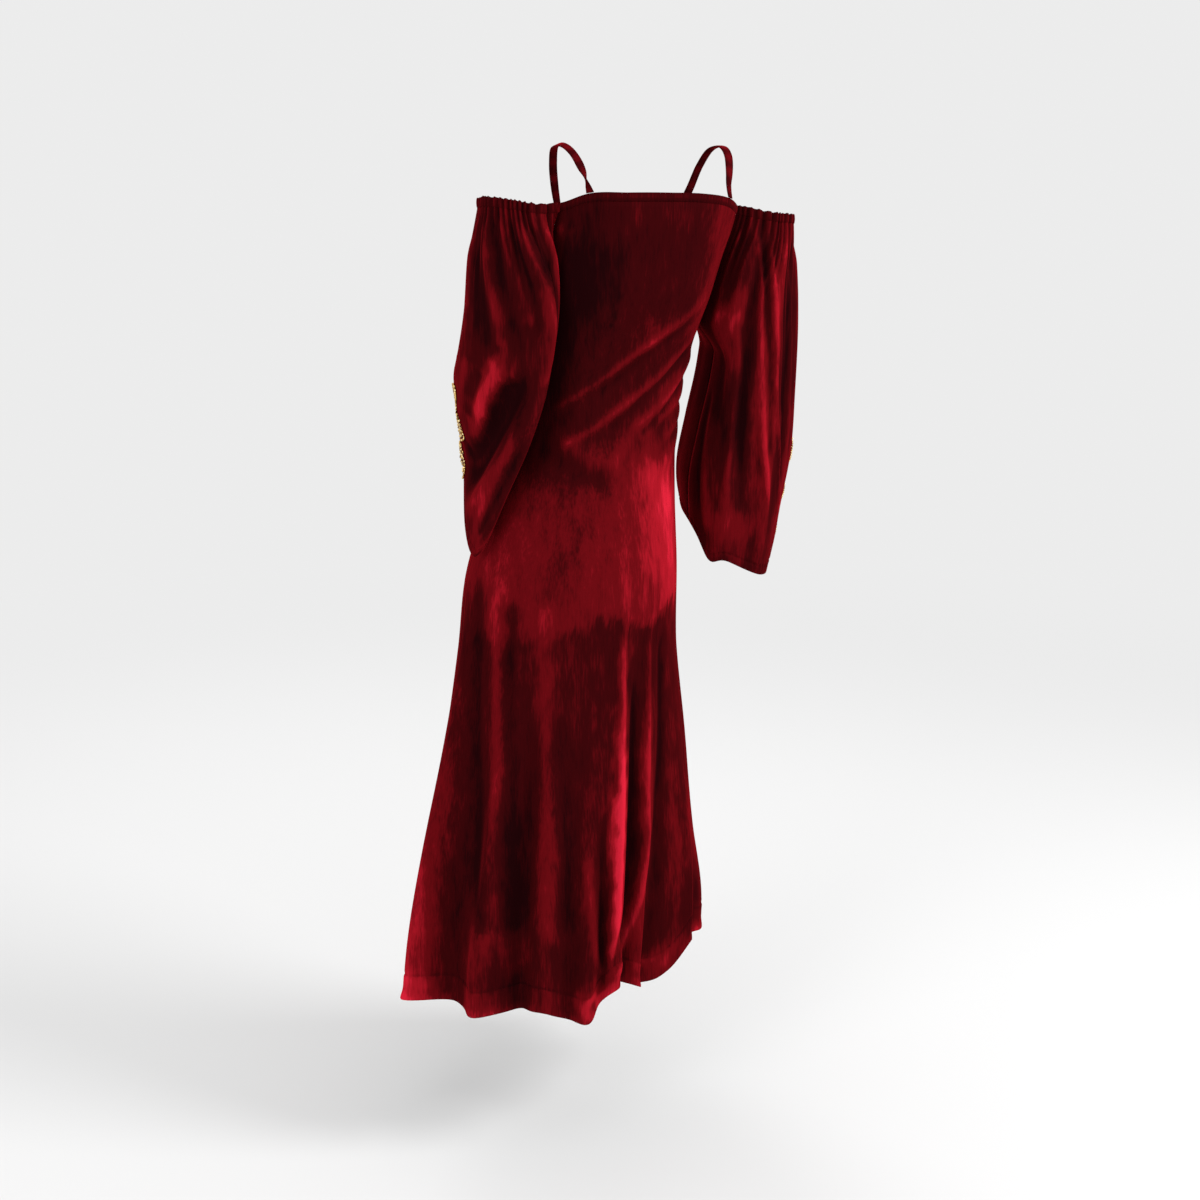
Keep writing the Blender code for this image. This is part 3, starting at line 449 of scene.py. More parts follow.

# %% [markdown]
# ## Creases, with painted highlight and shade along them
#
# The frame has the large folds. Real velvet adds sharp little ridges where it is dragged across the waist,
# and gathers that run together where the hem is caught up. They could be sculpted, but each is simple to
# say: a line across the cloth, how high it stands and how wide it is. The same lines also paint light and
# shade into the velvet's colour: a painted highlight along each ridge and painted shade along each trough.

# %% Creases of the body
Crease = namedtuple("Crease", "depth width line")    # the line is pairs of angle and drop
BODY_CREASES = table(Crease, [
    (0.0036, 0.007, [(150, 0.196), (138, 0.214), (101, 0.270), (60, 0.318), (28, 0.350)]),
    (-0.0022, 0.008, [(146, 0.222), (104, 0.286), (66, 0.332)]),
    (0.0040, 0.007, [(166, 0.232), (121, 0.314), (73, 0.368), (36, 0.400)]),
    (-0.0030, 0.008, [(160, 0.262), (118, 0.334), (80, 0.380)]),
    (0.0036, 0.007, [(172, 0.272), (150, 0.318), (134, 0.344), (98, 0.385)]),
    (-0.0026, 0.007, [(168, 0.300), (140, 0.352), (112, 0.388)]),
    (0.0030, 0.006, [(174, 0.318), (164, 0.338), (127, 0.372)]),
    (0.0024, 0.006, [(176, 0.352), (160, 0.372), (140, 0.396)]),
    (0.0020, 0.012, [(30, 0.372), (60, 0.408), (100, 0.430)]),
    (-0.0020, 0.012, [(20, 0.396), (50, 0.430), (90, 0.452)]),
    (0.0022, 0.006, [(14, 0.088), (20, 0.104), (30, 0.110)]),
    (0.0018, 0.006, [(17, 0.100), (21, 0.130), (22, 0.170)]),
    (-0.0040, 0.011, [(12, 0.560), (16, 0.671), (22, 0.839), (33, 1.034), (39, 1.088)]),
    (0.0035, 0.010, [(26, 0.560), (29, 0.665), (37, 0.857), (41, 1.031), (43, 1.124)]),
    (-0.0045, 0.010, [(34, 0.600), (37, 0.662), (42, 0.827), (45, 1.034), (48, 1.097)]),
    (0.0030, 0.014, [(53, 0.600), (56, 0.656), (60, 0.857), (63, 1.028), (66, 1.110)]),
    (-0.0035, 0.012, [(68, 0.760), (73, 0.947), (75, 1.097)]),
    (0.0040, 0.007, [(84, 0.960), (87, 1.034), (92, 1.120), (99, 1.168)]),
    (-0.0035, 0.008, [(94, 0.900), (95, 1.034), (97, 1.120), (100, 1.165)]),
    (0.0058, 0.005, [(105, 0.600), (104, 0.866), (103, 1.043), (102, 1.103), (100, 1.172)]),
    (-0.0060, 0.009, [(113, 0.700), (115, 0.905), (116, 1.025), (107, 1.106), (101, 1.168)]),
    (0.0050, 0.005, [(126, 0.600), (123, 0.878), (124, 0.971), (119, 1.058), (112, 1.130), (102, 1.172)]),
    (-0.0040, 0.010, [(138, 0.640), (138, 0.920), (138, 1.076)]),
    (0.0020, 0.008, [(131, 0.900), (133, 1.060), (128, 1.130)]),
    (0.0026, 0.010, [(186, 0.250), (224, 0.300), (262, 0.352)]),
    (-0.0022, 0.010, [(190, 0.280), (226, 0.330), (256, 0.372)]),
    (0.0028, 0.010, [(184, 0.320), (220, 0.380), (250, 0.428)]),
    (0.0024, 0.010, [(352, 0.262), (322, 0.300), (292, 0.350)]),
    (0.0022, 0.012, [(348, 0.330), (318, 0.372), (286, 0.412)]),
    (0.0030, 0.010, [(204, 0.620), (206, 0.860), (208, 1.120)]),
    (-0.0034, 0.010, [(222, 0.600), (221, 0.860), (220, 1.120)]),
    (0.0034, 0.010, [(243, 0.640), (242, 0.880), (241, 1.130)]),
    (-0.0030, 0.011, [(262, 0.580), (261, 0.860), (262, 1.120)]),
    (0.0032, 0.010, [(283, 0.620), (283, 0.880), (284, 1.130)]),
    (-0.0030, 0.011, [(304, 0.640), (303, 0.880), (303, 1.120)]),
    (0.0030, 0.010, [(326, 0.660), (326, 0.900), (325, 1.130)]),
])
CREASE_RADIUS = 0.14     # turns an angle round the body into a length across a crease
CREASE_FADE = 0.12       # share of a crease's length over which each end dies out
CREASE_STEPS = 4         # points of a crease's smooth line for each point of its table
RAGGED_WIDE, RAGGED_TALL = 0.012, 0.025      # size of a mark
RAGGED_GAIN = 1.6        # brings the noise up to about -1 to 1


def crease_height(points, creases):
    """How far the creases lift each point of a flat map of the cloth."""
    lift = np.zeros(len(points))
    for crease in creases:
        line = np.array(crease.line, float)
        steps = np.linspace(0, len(line) - 1, CREASE_STEPS * len(line))
        smooth = through(np.arange(len(line)), line, steps)
        distance, along = nearest_on_line(points, smooth)
        ends = rise(np.minimum(along, 1 - along), 0, CREASE_FADE)
        lift += crease.depth * ends * bump(distance, crease.width)
    return lift


def body_creases(angle, drop):
    flat = np.column_stack([np.radians(angle % 360) * CREASE_RADIUS, drop])
    creases = [
        crease._replace(line=[(math.radians(a) * CREASE_RADIUS, d) for a, d in crease.line])
        for crease in BODY_CREASES
    ]
    return crease_height(flat, creases)


def ripple(across, down, seed):
    """A slow unevenness of the cloth, longer down than across. Both are in metres."""
    total = np.zeros_like(across)
    for number in range(1, 8):
        phase = 1.7 * number * number + seed
        wide = (11 + 9 * number) * (1 if number % 2 else -1)
        tall = 5 + 3.1 * ((number * 3) % 5)
        total += np.sin(wide * across + tall * down + phase) / (1 + 0.5 * number)
    return total / 3


def ragged(across, down, seed):
    """An uneven field from about -1 to 1, with marks about 12 mm wide and 25 mm tall."""
    places = zip(across / RAGGED_WIDE, down / RAGGED_TALL)
    return np.array([RAGGED_GAIN * random_field.noise((x, y, seed)) for x, y in places])


print("creases on the body:", len(BODY_CREASES))

# %% [markdown]
# ## The velvet's bright and dark places
#
# Velvet is one colour, yet the gown shows from near black to bright crimson: its pile has been stroked up in
# some places and down in others, and light and shade fall across its folds. A value from 0 to 1, stored on
# every point of the cloth, holds both: how far the pile opens there, and painted light and shade. Soft
# patches, a row each, set its broad changes, partly stroked pile and partly painted pools of light and
# painted shade, and the folds add painted highlights on their ridges and painted shade in their troughs.

# %% How far the pile is open, and the painted light and shade
NapAndLightPatch = namedtuple("NapAndLightPatch", "angle drop half_angle half_drop amount")
# Bright patches are partly stroked pile and partly painted pools of light; dark ones are partly stroked pile
# and partly painted shade.
BODY_NAP_AND_LIGHT_PATCHES = table(NapAndLightPatch, [
    (148, 0.110, 12, 0.045, 0.22), (152, 0.190, 10, 0.050, 0.20),
    (100, 0.085, 50, 0.020, 0.06), (48, 0.180, 36, 0.080, -0.20),
    (30, 0.330, 26, 0.070, -0.16), (126, 0.360, 18, 0.050, -0.16),
    (64, 0.098, 8, 0.018, 0.10), (26, 0.200, 14, 0.090, -0.20),
    (352, 0.410, 14, 0.060, 0.12), (0, 0.680, 12, 0.050, -0.18),
    (126, 0.535, 12, 0.040, 0.12), (130, 0.720, 15, 0.090, -0.10),
    (36, 1.020, 9, 0.120, -0.24), (110, 1.060, 11, 0.080, 0.16),
    (158, 0.284, 14, 0.028, -0.20), (158, 0.388, 12, 0.022, -0.18),
    (112, 0.252, 14, 0.026, 0.16), (126, 0.452, 12, 0.030, 0.20),
    (136, 0.980, 7, 0.090, 0.14), (104, 0.980, 3, 0.220, 0.24),
    (24, 0.555, 16, 0.080, 0.18), (145, 0.470, 14, 0.050, 0.30),
    (148, 0.560, 12, 0.070, 0.22), (104, 0.900, 5, 0.250, 0.20),
    (124, 0.880, 5, 0.120, 0.20), (147, 0.950, 5, 0.250, 0.16),
    (94, 1.192, 16, 0.018, 0.46), (134, 1.172, 12, 0.018, 0.34),
    (52, 1.120, 6, 0.040, 0.26), (4, 1.190, 10, 0.016, 0.14),
    (40, 1.160, 8, 0.020, -0.14), (70, 1.000, 12, 0.100, 0.06),
    (165, 0.980, 10, 0.050, 0.26), (165, 1.100, 12, 0.030, -0.20),
    (166, 1.165, 10, 0.016, 0.24), (230, 0.150, 30, 0.060, 0.10),
    (300, 0.200, 26, 0.070, -0.14), (270, 0.420, 40, 0.050, 0.10),
])
HIP_LIGHT_TOP = 0.385        # a painted pool of light over the hips, between these drops
HIP_LIGHT_FULL = 0.500
HIP_LIGHT_END = 0.652
NAP_BASE = 0.27
CREASE_LIGHT_AND_SHADE = 52            # how much painted highlight a metre of a crease's height adds, and painted shade for a trough
FOLD_LIGHT_AND_SHADE = 34             # and a metre of a broad fold's
HIP_LIGHT_AMOUNT = 0.34
FRINGE_ANGLE = 3.0           # how far the patches' edges are ragged, in degrees
FRINGE_DROP = 0.010          # and in metres
NAP_RIPPLE = 0.05


def hip_light_patch(angle, drop):
    """1 where a pool of light is painted over the hips. Its lower edge is ragged and quite sharp."""
    end = HIP_LIGHT_END + 0.014 * np.sin(np.radians(angle * 3)) - 0.030 * rise(angle, 118, 150)
    end = end + 0.004 * np.sin(angle * 1.9) + 0.003 * np.sin(angle * 4.7)
    side = 0.40 + 0.60 * rise(angle, 60, 135)
    side = np.where(angle > 180, 0.45, side)
    return side * rise(drop, HIP_LIGHT_TOP, HIP_LIGHT_FULL) * (1 - rise(drop, end - 0.012, end + 0.008))


def body_nap_and_painted_light(angle, drop, lift, folds):
    angle = angle % 360
    flat = np.radians(angle) * CREASE_RADIUS
    # Creases and folds paint highlight on their ridges and shade in their troughs.
    tone_and_painted_light = NAP_BASE + CREASE_LIGHT_AND_SHADE * lift + FOLD_LIGHT_AND_SHADE * folds
    angle = angle + FRINGE_ANGLE * ragged(flat, drop, 3.3)
    drop = drop + FRINGE_DROP * ragged(flat, drop, 7.7)
    # A painted pool of light over the hips, brighter towards the right side.
    tone_and_painted_light += HIP_LIGHT_AMOUNT * hip_light_patch(angle, drop)
    for patch in BODY_NAP_AND_LIGHT_PATCHES:
        across = turn_between(angle, patch.angle) / patch.half_angle
        down = (drop - patch.drop) / patch.half_drop
        tone_and_painted_light += patch.amount * np.exp(-(across**2) - down**2)
    tone_and_painted_light += NAP_RIPPLE * ripple(np.radians(angle) * CREASE_RADIUS * 3, drop * 2, 2.0)
    return np.clip(tone_and_painted_light, 0, 1)


print("nap patches on the body:", len(BODY_NAP_AND_LIGHT_PATCHES))

# %% [markdown]
# ## From grids to cloth
#
# A sheet of cloth is a grid of points and a second grid one cloth's thickness behind it, joined
# along the rim. A Solidify modifier would do nearly that, but here the rim is rounded like a folded
# edge and a sleeve's top stays level for its casing, so the faces are made directly.

# %% Cloth from two grids
EDGE_ROUND = 0.25            # how far the rim bulges out, as a share of the cloth's thickness
BACK_NAP = 0.3               # how bright the backing is beside the pile


def grid_normals(grid):
    """Unit vectors square to the cloth at each point: the way down it crossed with the way along it."""
    out = np.cross(np.gradient(grid, axis=0), np.gradient(grid, axis=1))
    return out / np.maximum(np.linalg.norm(out, axis=2), 1e-12)[:, :, None]


def rim_of(rows, columns):
    rim = list(range(columns))
    rim += [r * columns + columns - 1 for r in range(1, rows)]
    rim += [(rows - 1) * columns + c for c in range(columns - 2, -1, -1)]
    return rim + [r * columns for r in range(rows - 2, 0, -1)]


def mesh_piece(name, points, faces, tone_and_painted_light=None):
    mesh = bpy.data.meshes.new(name)
    mesh.from_pydata(points.tolist(), [], faces)
    if tone_and_painted_light is not None:
        # The stored value is the pile's tone with painted highlights and painted shade; on the motifs it is
        # each bead's own tone.
        mesh.attributes.new("tone_and_painted_light", "FLOAT", "POINT").data.foreach_set("value", tone_and_painted_light.astype(np.float32))
    mesh.polygons.foreach_set("use_smooth", [True] * len(mesh.polygons))
    piece = bpy.data.objects.new(name, mesh)
    bpy.context.scene.collection.objects.link(piece)
    return piece


def cloth_sheet(name, outer, inner, tone_and_painted_light, facing):
    """A closed sheet. Facing is -1 where the grid's columns run round the other way."""
    if facing < 0:
        outer, inner, tone_and_painted_light = outer[:, ::-1], inner[:, ::-1], tone_and_painted_light[:, ::-1]
    rows, columns = outer.shape[:2]
    count = rows * columns
    corner = (np.arange(rows - 1)[:, None] * columns + np.arange(columns - 1)).ravel()
    front = np.column_stack([corner, corner + 1, corner + columns + 1, corner + columns])
    back = count + front[:, ::-1]
    rim = np.array(rim_of(rows, columns))
    middle = (outer + inner) / 2
    inward = np.zeros_like(middle)
    inward[0] += middle[1] - middle[0]
    inward[-1] += middle[-2] - middle[-1]
    inward[:, 0] += middle[:, 1] - middle[:, 0]
    inward[:, -1] += middle[:, -2] - middle[:, -1]
    flat_middle, flat_inward = middle.reshape(-1, 3)[rim], inward.reshape(-1, 3)[rim]
    thick = np.linalg.norm((outer - inner).reshape(-1, 3)[rim], axis=1)[:, None]
    reach = flat_inward / np.maximum(np.linalg.norm(flat_inward, axis=1), 1e-9)[:, None]
    edge = flat_middle - reach * thick * EDGE_ROUND
    points = np.concatenate([outer.reshape(-1, 3), inner.reshape(-1, 3), edge])
    k = np.arange(len(rim))
    following = np.roll(k, -1)
    outer_rim = np.column_stack([rim, 2 * count + k, 2 * count + following, rim[following]])
    inner_rim = np.column_stack([2 * count + k, count + rim, count + rim[following], 2 * count + following])
    faces = np.concatenate([front, back, outer_rim, inner_rim])
    values = np.concatenate([tone_and_painted_light.ravel(), BACK_NAP * tone_and_painted_light.ravel(), tone_and_painted_light.reshape(-1)[rim]])
    piece = mesh_piece(name, points, faces.tolist(), values)
    print(f"{name}: {len(points)} points, {len(faces)} faces")
    return piece


# %% [markdown]
# ## Back and front panels
#
# Each panel is cut in one piece from the neck to the hem, without a waist seam, and shaped by its
# side seams. It hangs as a wall of cloth whose rows run from the neckline to the hem. The rows are
# close together in the last few centimetres, where the hem is turned up: the stitching pulls a
# narrow groove there and the doubled cloth below it is a little thicker.

# %% Rows and columns of the panels
BODY_FACING = -1             # the panels' columns run round the body the other way from a left sleeve's
PANEL_COLUMNS = {False: 221, True: 161}      # of the back panel, and of the front one
ARMHOLE_STEPS, WAIST_STEPS, SKIRT_STEPS, HEM_STEPS = 24, 70, 78, 22
HEM_DEEP = 0.052             # height of the dense rows
HEM_TURN = 0.038             # height of the turned-up hem
GROOVE_DEPTH, GROOVE_WIDTH = 0.0011, 0.0022
HEM_PUCKERS = 150            # round a whole turn
PUCKER_DEPTH, PUCKER_HEIGHT = 0.0007, 0.009
HEM_THICKER = 0.0006         # how much further out the doubled cloth lies
HEM_ROLL = 0.0035            # how far the edge of the hem curls out
HEM_ROLL_DEEP = 0.024        # height over which it curls
EDGE_ROUNDS = 14             # tries at a row's angles, each nearer than the last
PANEL_RIPPLE = 0.0012
FOLD_SHARE, DRAG_SHARE = 0.35, 0.8           # how much painted highlight and shade the large folds add beside a crease
SEAM_MARGIN = 5              # degrees beside a seam where creases die out


def panel_rows(top, hem):
    """Drops of all rows, from the neck down, for each column."""
    low = hem - HEM_DEEP
    rows = [top + (UNDERARM_DROP - top) * i / ARMHOLE_STEPS for i in range(ARMHOLE_STEPS)]
    for i in range(WAIST_STEPS):
        rows.append(np.full_like(top, UNDERARM_DROP + (WAIST_END_DROP - UNDERARM_DROP) * i / WAIST_STEPS))
    rows += [WAIST_END_DROP + (low - WAIST_END_DROP) * i / SKIRT_STEPS for i in range(SKIRT_STEPS)]
    rows += [low + (hem - low) * i / HEM_STEPS for i in range(HEM_STEPS + 1)]
    return rows


def hem_relief(angle, above):
    """The hem's groove, puckers and roll, by the height above its edge."""
    groove = -GROOVE_DEPTH * bump(above - HEM_TURN, GROOVE_WIDTH)
    pull = np.sin(np.radians(angle) * HEM_PUCKERS) * np.sin(np.radians(angle) * 37 + 1)
    pucker = PUCKER_DEPTH * pull * bump(above - HEM_TURN, PUCKER_HEIGHT)
    below = HEM_THICKER * (1 - rise(above, HEM_TURN - 0.002, HEM_TURN))
    roll = HEM_ROLL * (1 - rise(above, 0, HEM_ROLL_DEEP)) ** 2
    sway = 0.5 + 0.5 * np.sin(np.radians(angle) * 9 + 0.6)
    return groove + pucker + below + roll * (0.3 + 0.7 * sway)


def panel_angles(front, row):
    """The angles of a row of points, found with its drops, which depend on them."""
    columns = PANEL_COLUMNS[front]
    first_side, last_side = (RIGHT, LEFT) if front else (LEFT, RIGHT)
    half_gap = seam_turn(SEAM_GAP)
    drop = np.full(columns, 0.1)
    for attempt in range(EDGE_ROUNDS):
        first = edge_angle(first_side, front, drop[:1]) + half_gap
        last = edge_angle(last_side, front, drop[-1:]) - half_gap
        angle = first + (last - first) * np.linspace(0, 1, columns)
        drop = panel_rows(panel_top(angle), hem_drop(angle))[row]
    return angle, drop


def panel_sheet(front):
    count = ARMHOLE_STEPS + WAIST_STEPS + SKIRT_STEPS + HEM_STEPS + 1
    grid, tones_and_painted_light = [], []
    for row in range(count):
        angle, drop = panel_angles(front, row)
        seam = edge_angle(RIGHT, front, drop)
        slit = rise(drop, SLIT_DROP, SLIT_DROP + SLIT_OPENING) * bump(angle - seam, SLIT_REACH)
        lift = body_creases(angle, drop)
        edge = rise(np.minimum(angle - angle[0], angle[-1] - angle), 0, SEAM_MARGIN)
        settle = rise(drop - panel_top(angle), 0, 0.02)
        uneven = PANEL_RIPPLE * ripple(np.radians(angle) * CREASE_RADIUS, drop, 0.4)
        lift = (lift + uneven) * edge * settle
        lift = lift + hem_relief(angle, hem_drop(angle) - drop)
        tuck = (-SLIT_FRONT_TUCK if front else SLIT_BACK_LIFT) * slit
        grid.append(body_points(angle, drop, tuck + lift))
        # The large folds add painted highlights on their ridges and painted shade in their troughs.
        folds = skirt_folds(angle, drop) * FOLD_SHARE + drag_folds(angle, drop) * DRAG_SHARE
        tones_and_painted_light.append(body_nap_and_painted_light(angle, drop, lift, folds))
    grid, tones_and_painted_light = np.array(grid), np.array(tones_and_painted_light)
    out = grid_normals(grid)
    name = "velvet_front_panel" if front else "velvet_back_panel"
    return cloth_sheet(name, grid, grid - out * WALL, tones_and_painted_light, BODY_FACING), grid, out


panels = {front: panel_sheet(front) for front in (False, True)}

# %% [markdown]
# ## The sleeves
#
# A bell sleeve is a wide tube gathered into elastic at the top. Above the underarm it goes about two
# thirds of the way round the arm, from one edge of the armhole to the other. Four lines down the arm
# give its form, in a table for each sleeve, and a ring of points is drawn through them at every
# level. Gathers and folds are then lifted off that form.
# Cloth simulation could drop the tube over an arm, but the photo's folds are particular ones, such as the
# deep swag at the left elbow, so they are given one by one.

# %% The sleeves' lines and folds
# Four lines that run down each sleeve, at the back, the outside, the front and the inside.
SleeveRow = namedtuple(
    "SleeveRow",
    "share back_x back_y back_drop outer_x outer_y outer_drop"
    " front_x front_y front_drop inner_x inner_y inner_drop",
)
SLEEVE_ROWS = {
    LEFT: table(SleeveRow, [
        (0.00, 0.156, 0.052, 0.086, 0.222, -0.004, 0.075, 0.170, -0.068, 0.097, 0.122, -0.008, 0.090),
        (0.13, 0.150, 0.066, 0.148, 0.232, -0.006, 0.140, 0.176, -0.078, 0.150, 0.146, -0.008, 0.150),
        (0.32, 0.152, 0.074, 0.240, 0.237, -0.010, 0.228, 0.192, -0.086, 0.220, 0.168, -0.010, 0.238),
        (0.46, 0.164, 0.071, 0.314, 0.240, -0.020, 0.284, 0.204, -0.098, 0.262, 0.176, -0.016, 0.290),
        (0.62, 0.188, 0.061, 0.390, 0.246, -0.034, 0.340, 0.212, -0.112, 0.296, 0.182, -0.030, 0.340),
        (0.80, 0.221, 0.045, 0.470, 0.243, -0.050, 0.392, 0.216, -0.122, 0.330, 0.188, -0.048, 0.388),
        (1.00, 0.249, 0.020, 0.548, 0.240, -0.064, 0.446, 0.218, -0.128, 0.368, 0.192, -0.066, 0.436),
    ]),
    RIGHT: table(SleeveRow, [
        (0.00, 0.172, 0.046, 0.099, 0.227, -0.006, 0.106, 0.170, -0.070, 0.108, 0.122, -0.008, 0.100),
        (0.13, 0.168, 0.054, 0.158, 0.235, -0.012, 0.164, 0.170, -0.080, 0.164, 0.134, -0.012, 0.160),
        (0.32, 0.165, 0.058, 0.250, 0.242, -0.020, 0.254, 0.170, -0.092, 0.238, 0.128, -0.014, 0.236),
        (0.48, 0.160, 0.054, 0.334, 0.242, -0.024, 0.338, 0.166, -0.098, 0.312, 0.119, -0.020, 0.318),
        (0.66, 0.157, 0.048, 0.424, 0.237, -0.028, 0.424, 0.160, -0.105, 0.388, 0.104, -0.028, 0.396),
        (0.84, 0.153, 0.040, 0.510, 0.219, -0.030, 0.508, 0.150, -0.108, 0.462, 0.092, -0.032, 0.468),
        (1.00, 0.150, 0.032, 0.594, 0.208, -0.032, 0.592, 0.149, -0.105, 0.532, 0.094, -0.034, 0.533),
    ]),
}
UNDERARM_SHARE = 0.32    # share of a sleeve's length where its two edges meet
EDGE_TURN_TOP = 126.0    # degrees round the arm from its outside to the armhole, at the top
EDGE_TURN_LOW = 179.8    # and from the underarm down, where the sleeve is a closed tube
SQUARENESS_TOP = 0.9     # under 1 a ring is fuller at its corners than an ellipse
SQUARENESS_LOW = 0.72
ARMHOLE_BLEND = 0.22     # share of a sleeve's width that turns in to the armhole
ARMHOLE_FADE = 0.10      # share of its length that the turn takes to die out below the underarm
SLEEVE_CLEAR = 0.0012    # least distance from the gown's body, and the distance further round
SLEEVE_CLEAR_ROUND = 0.0040

# Small gathers under the elastic, and the folds that run down from them.
GATHERS = 12
GATHER_DEPTH = 0.0018
GATHER_FADE = 0.22
SleeveFold = namedtuple("SleeveFold", "across_from share_from across_to share_to depth width")
SLEEVE_FOLDS = {
    LEFT: table(SleeveFold, [
        (0.12, 0.04, 0.10, 0.46, 0.0060, 0.026),
        (0.20, 0.03, 0.18, 0.40, -0.0050, 0.024),
        (0.28, 0.03, 0.25, 0.42, 0.0060, 0.026),
        (0.36, 0.04, 0.32, 0.38, -0.0050, 0.026),
        (0.44, 0.05, 0.42, 0.44, 0.0055, 0.028),
        (0.56, 0.04, 0.56, 0.70, 0.0060, 0.030),
        (0.68, 0.05, 0.68, 0.60, -0.0060, 0.030),
        (0.80, 0.05, 0.80, 0.62, 0.0060, 0.030),
        (0.41, 0.38, 0.47, 0.66, 0.0080, 0.030),
        (0.32, 0.42, 0.47, 0.94, -0.0150, 0.032),
        (0.25, 0.46, 0.42, 1.00, 0.0060, 0.030),
    ]),
    RIGHT: table(SleeveFold, [
        (0.10, 0.04, 0.14, 0.62, 0.0070, 0.026),
        (0.18, 0.04, 0.21, 0.80, -0.0060, 0.026),
        (0.27, 0.03, 0.30, 1.05, 0.0060, 0.026),
        (0.36, 0.03, 0.38, 0.80, -0.0060, 0.026),
        (0.44, 0.03, 0.45, 1.05, 0.0075, 0.026),
        (0.53, 0.04, 0.53, 0.90, -0.0055, 0.028),
        (0.64, 0.05, 0.64, 1.05, 0.0070, 0.030),
        (0.76, 0.05, 0.76, 0.90, -0.0070, 0.030),
        (0.88, 0.05, 0.88, 1.05, 0.0060, 0.030),
    ]),
}


def power(value, exponent):
    return np.sign(value) * np.abs(value) ** exponent


def sleeve_ring(side, turn, share):
    """Points on a plain sleeve. The turn is from the outside of the arm, positive to the back."""
    rows = SLEEVE_ROWS[side]
    found = through([row.share for row in rows], [row[1:] for row in rows], share)
    lines = found.reshape(-1, 4, 3) * (side, 1, -1)
    back, outer, front, inner = np.moveaxis(lines, 1, 0)
    middle = lines.mean(axis=1)
    square = SQUARENESS_TOP + (SQUARENESS_LOW - SQUARENESS_TOP) * share
    cos = power(np.cos(np.radians(turn)), square)[:, None]
    sin = power(np.sin(np.radians(turn)), square)[:, None]
    return (
        middle
        + np.clip(cos, 0, 1) * (outer - middle) + np.clip(-cos, 0, 1) * (inner - middle)
        + np.clip(sin, 0, 1) * (back - middle) + np.clip(-sin, 0, 1) * (front - middle)
    )


def edge_turn(share):
    return EDGE_TURN_TOP + (EDGE_TURN_LOW - EDGE_TURN_TOP) * rise(share, 0, UNDERARM_SHARE)


def armhole_points(side, front, share):
    """The sleeve's edge along the armhole, which passes from beside the panel to outside it."""
    width = ARMHOLE_FRONT if front else ARMHOLE_BACK
    towards = 1 if (side == LEFT) != front else -1
    top = panel_top(np.array([(0 if side == LEFT else 180) + towards * width]))
    drop = top + (UNDERARM_DROP - top) * np.clip(share / UNDERARM_SHARE, 0, 1)
    low = np.clip(share / UNDERARM_SHARE, 0, 1)
    angle = edge_angle(side, front, drop) - towards * seam_turn(SEAM_GAP) * (1 - 2 * low)
    return body_points(angle, drop, SLEEVE_CLEAR * rise(low, 0, 0.6))


def body_centre(drop):
    centres = [(section.centre_x, section.centre_y) for section in BODY_SECTIONS]
    return through([section.drop for section in BODY_SECTIONS], centres, drop)


def clear_of_body(points, clearance):
    """Moves points straight out from the gown's middle to where they clear its body."""
    centre = body_centre(-points[:, 2])
    away = points[:, :2] - centre
    angle = np.degrees(np.arctan2(away[:, 1], away[:, 0]))
    body = body_points(angle, -points[:, 2], clearance)
    need = np.linalg.norm(body[:, :2] - centre, axis=1)
    have = np.linalg.norm(away, axis=1)
    moved = points.copy()
    moved[:, :2] = centre + away * np.maximum(1, need / have)[:, None]
    return moved


def sleeve_swell(side, across, share):
    """How far the gathers and the folds lift the cloth."""
    wander = 0.35 * np.sin(7 * across + side) + 0.2 * np.sin(19 * across)
    fade = 1 - rise(share, 0.02, GATHER_FADE)
    swell = GATHER_DEPTH * fade * np.sin(2 * np.pi * (GATHERS * across + wander))
    for fold in SLEEVE_FOLDS[side]:
        t = np.clip((share - fold.share_from) / (fold.share_to - fold.share_from), 0, 1)
        line = fold.across_from + (fold.across_to - fold.across_from) * t
        starts = rise(share, fold.share_from - 0.04, fold.share_from + 0.10)
        ends = 1 - rise(share, fold.share_to - 0.16, fold.share_to + 0.02)
        swell = swell + fold.depth * starts * ends * bump(across - line, fold.width)
    edge = np.minimum(across, 1 - across)
    return swell * rise(edge, 0, 0.08)


print("sleeve folds:", {side: len(folds) for side, folds in SLEEVE_FOLDS.items()})
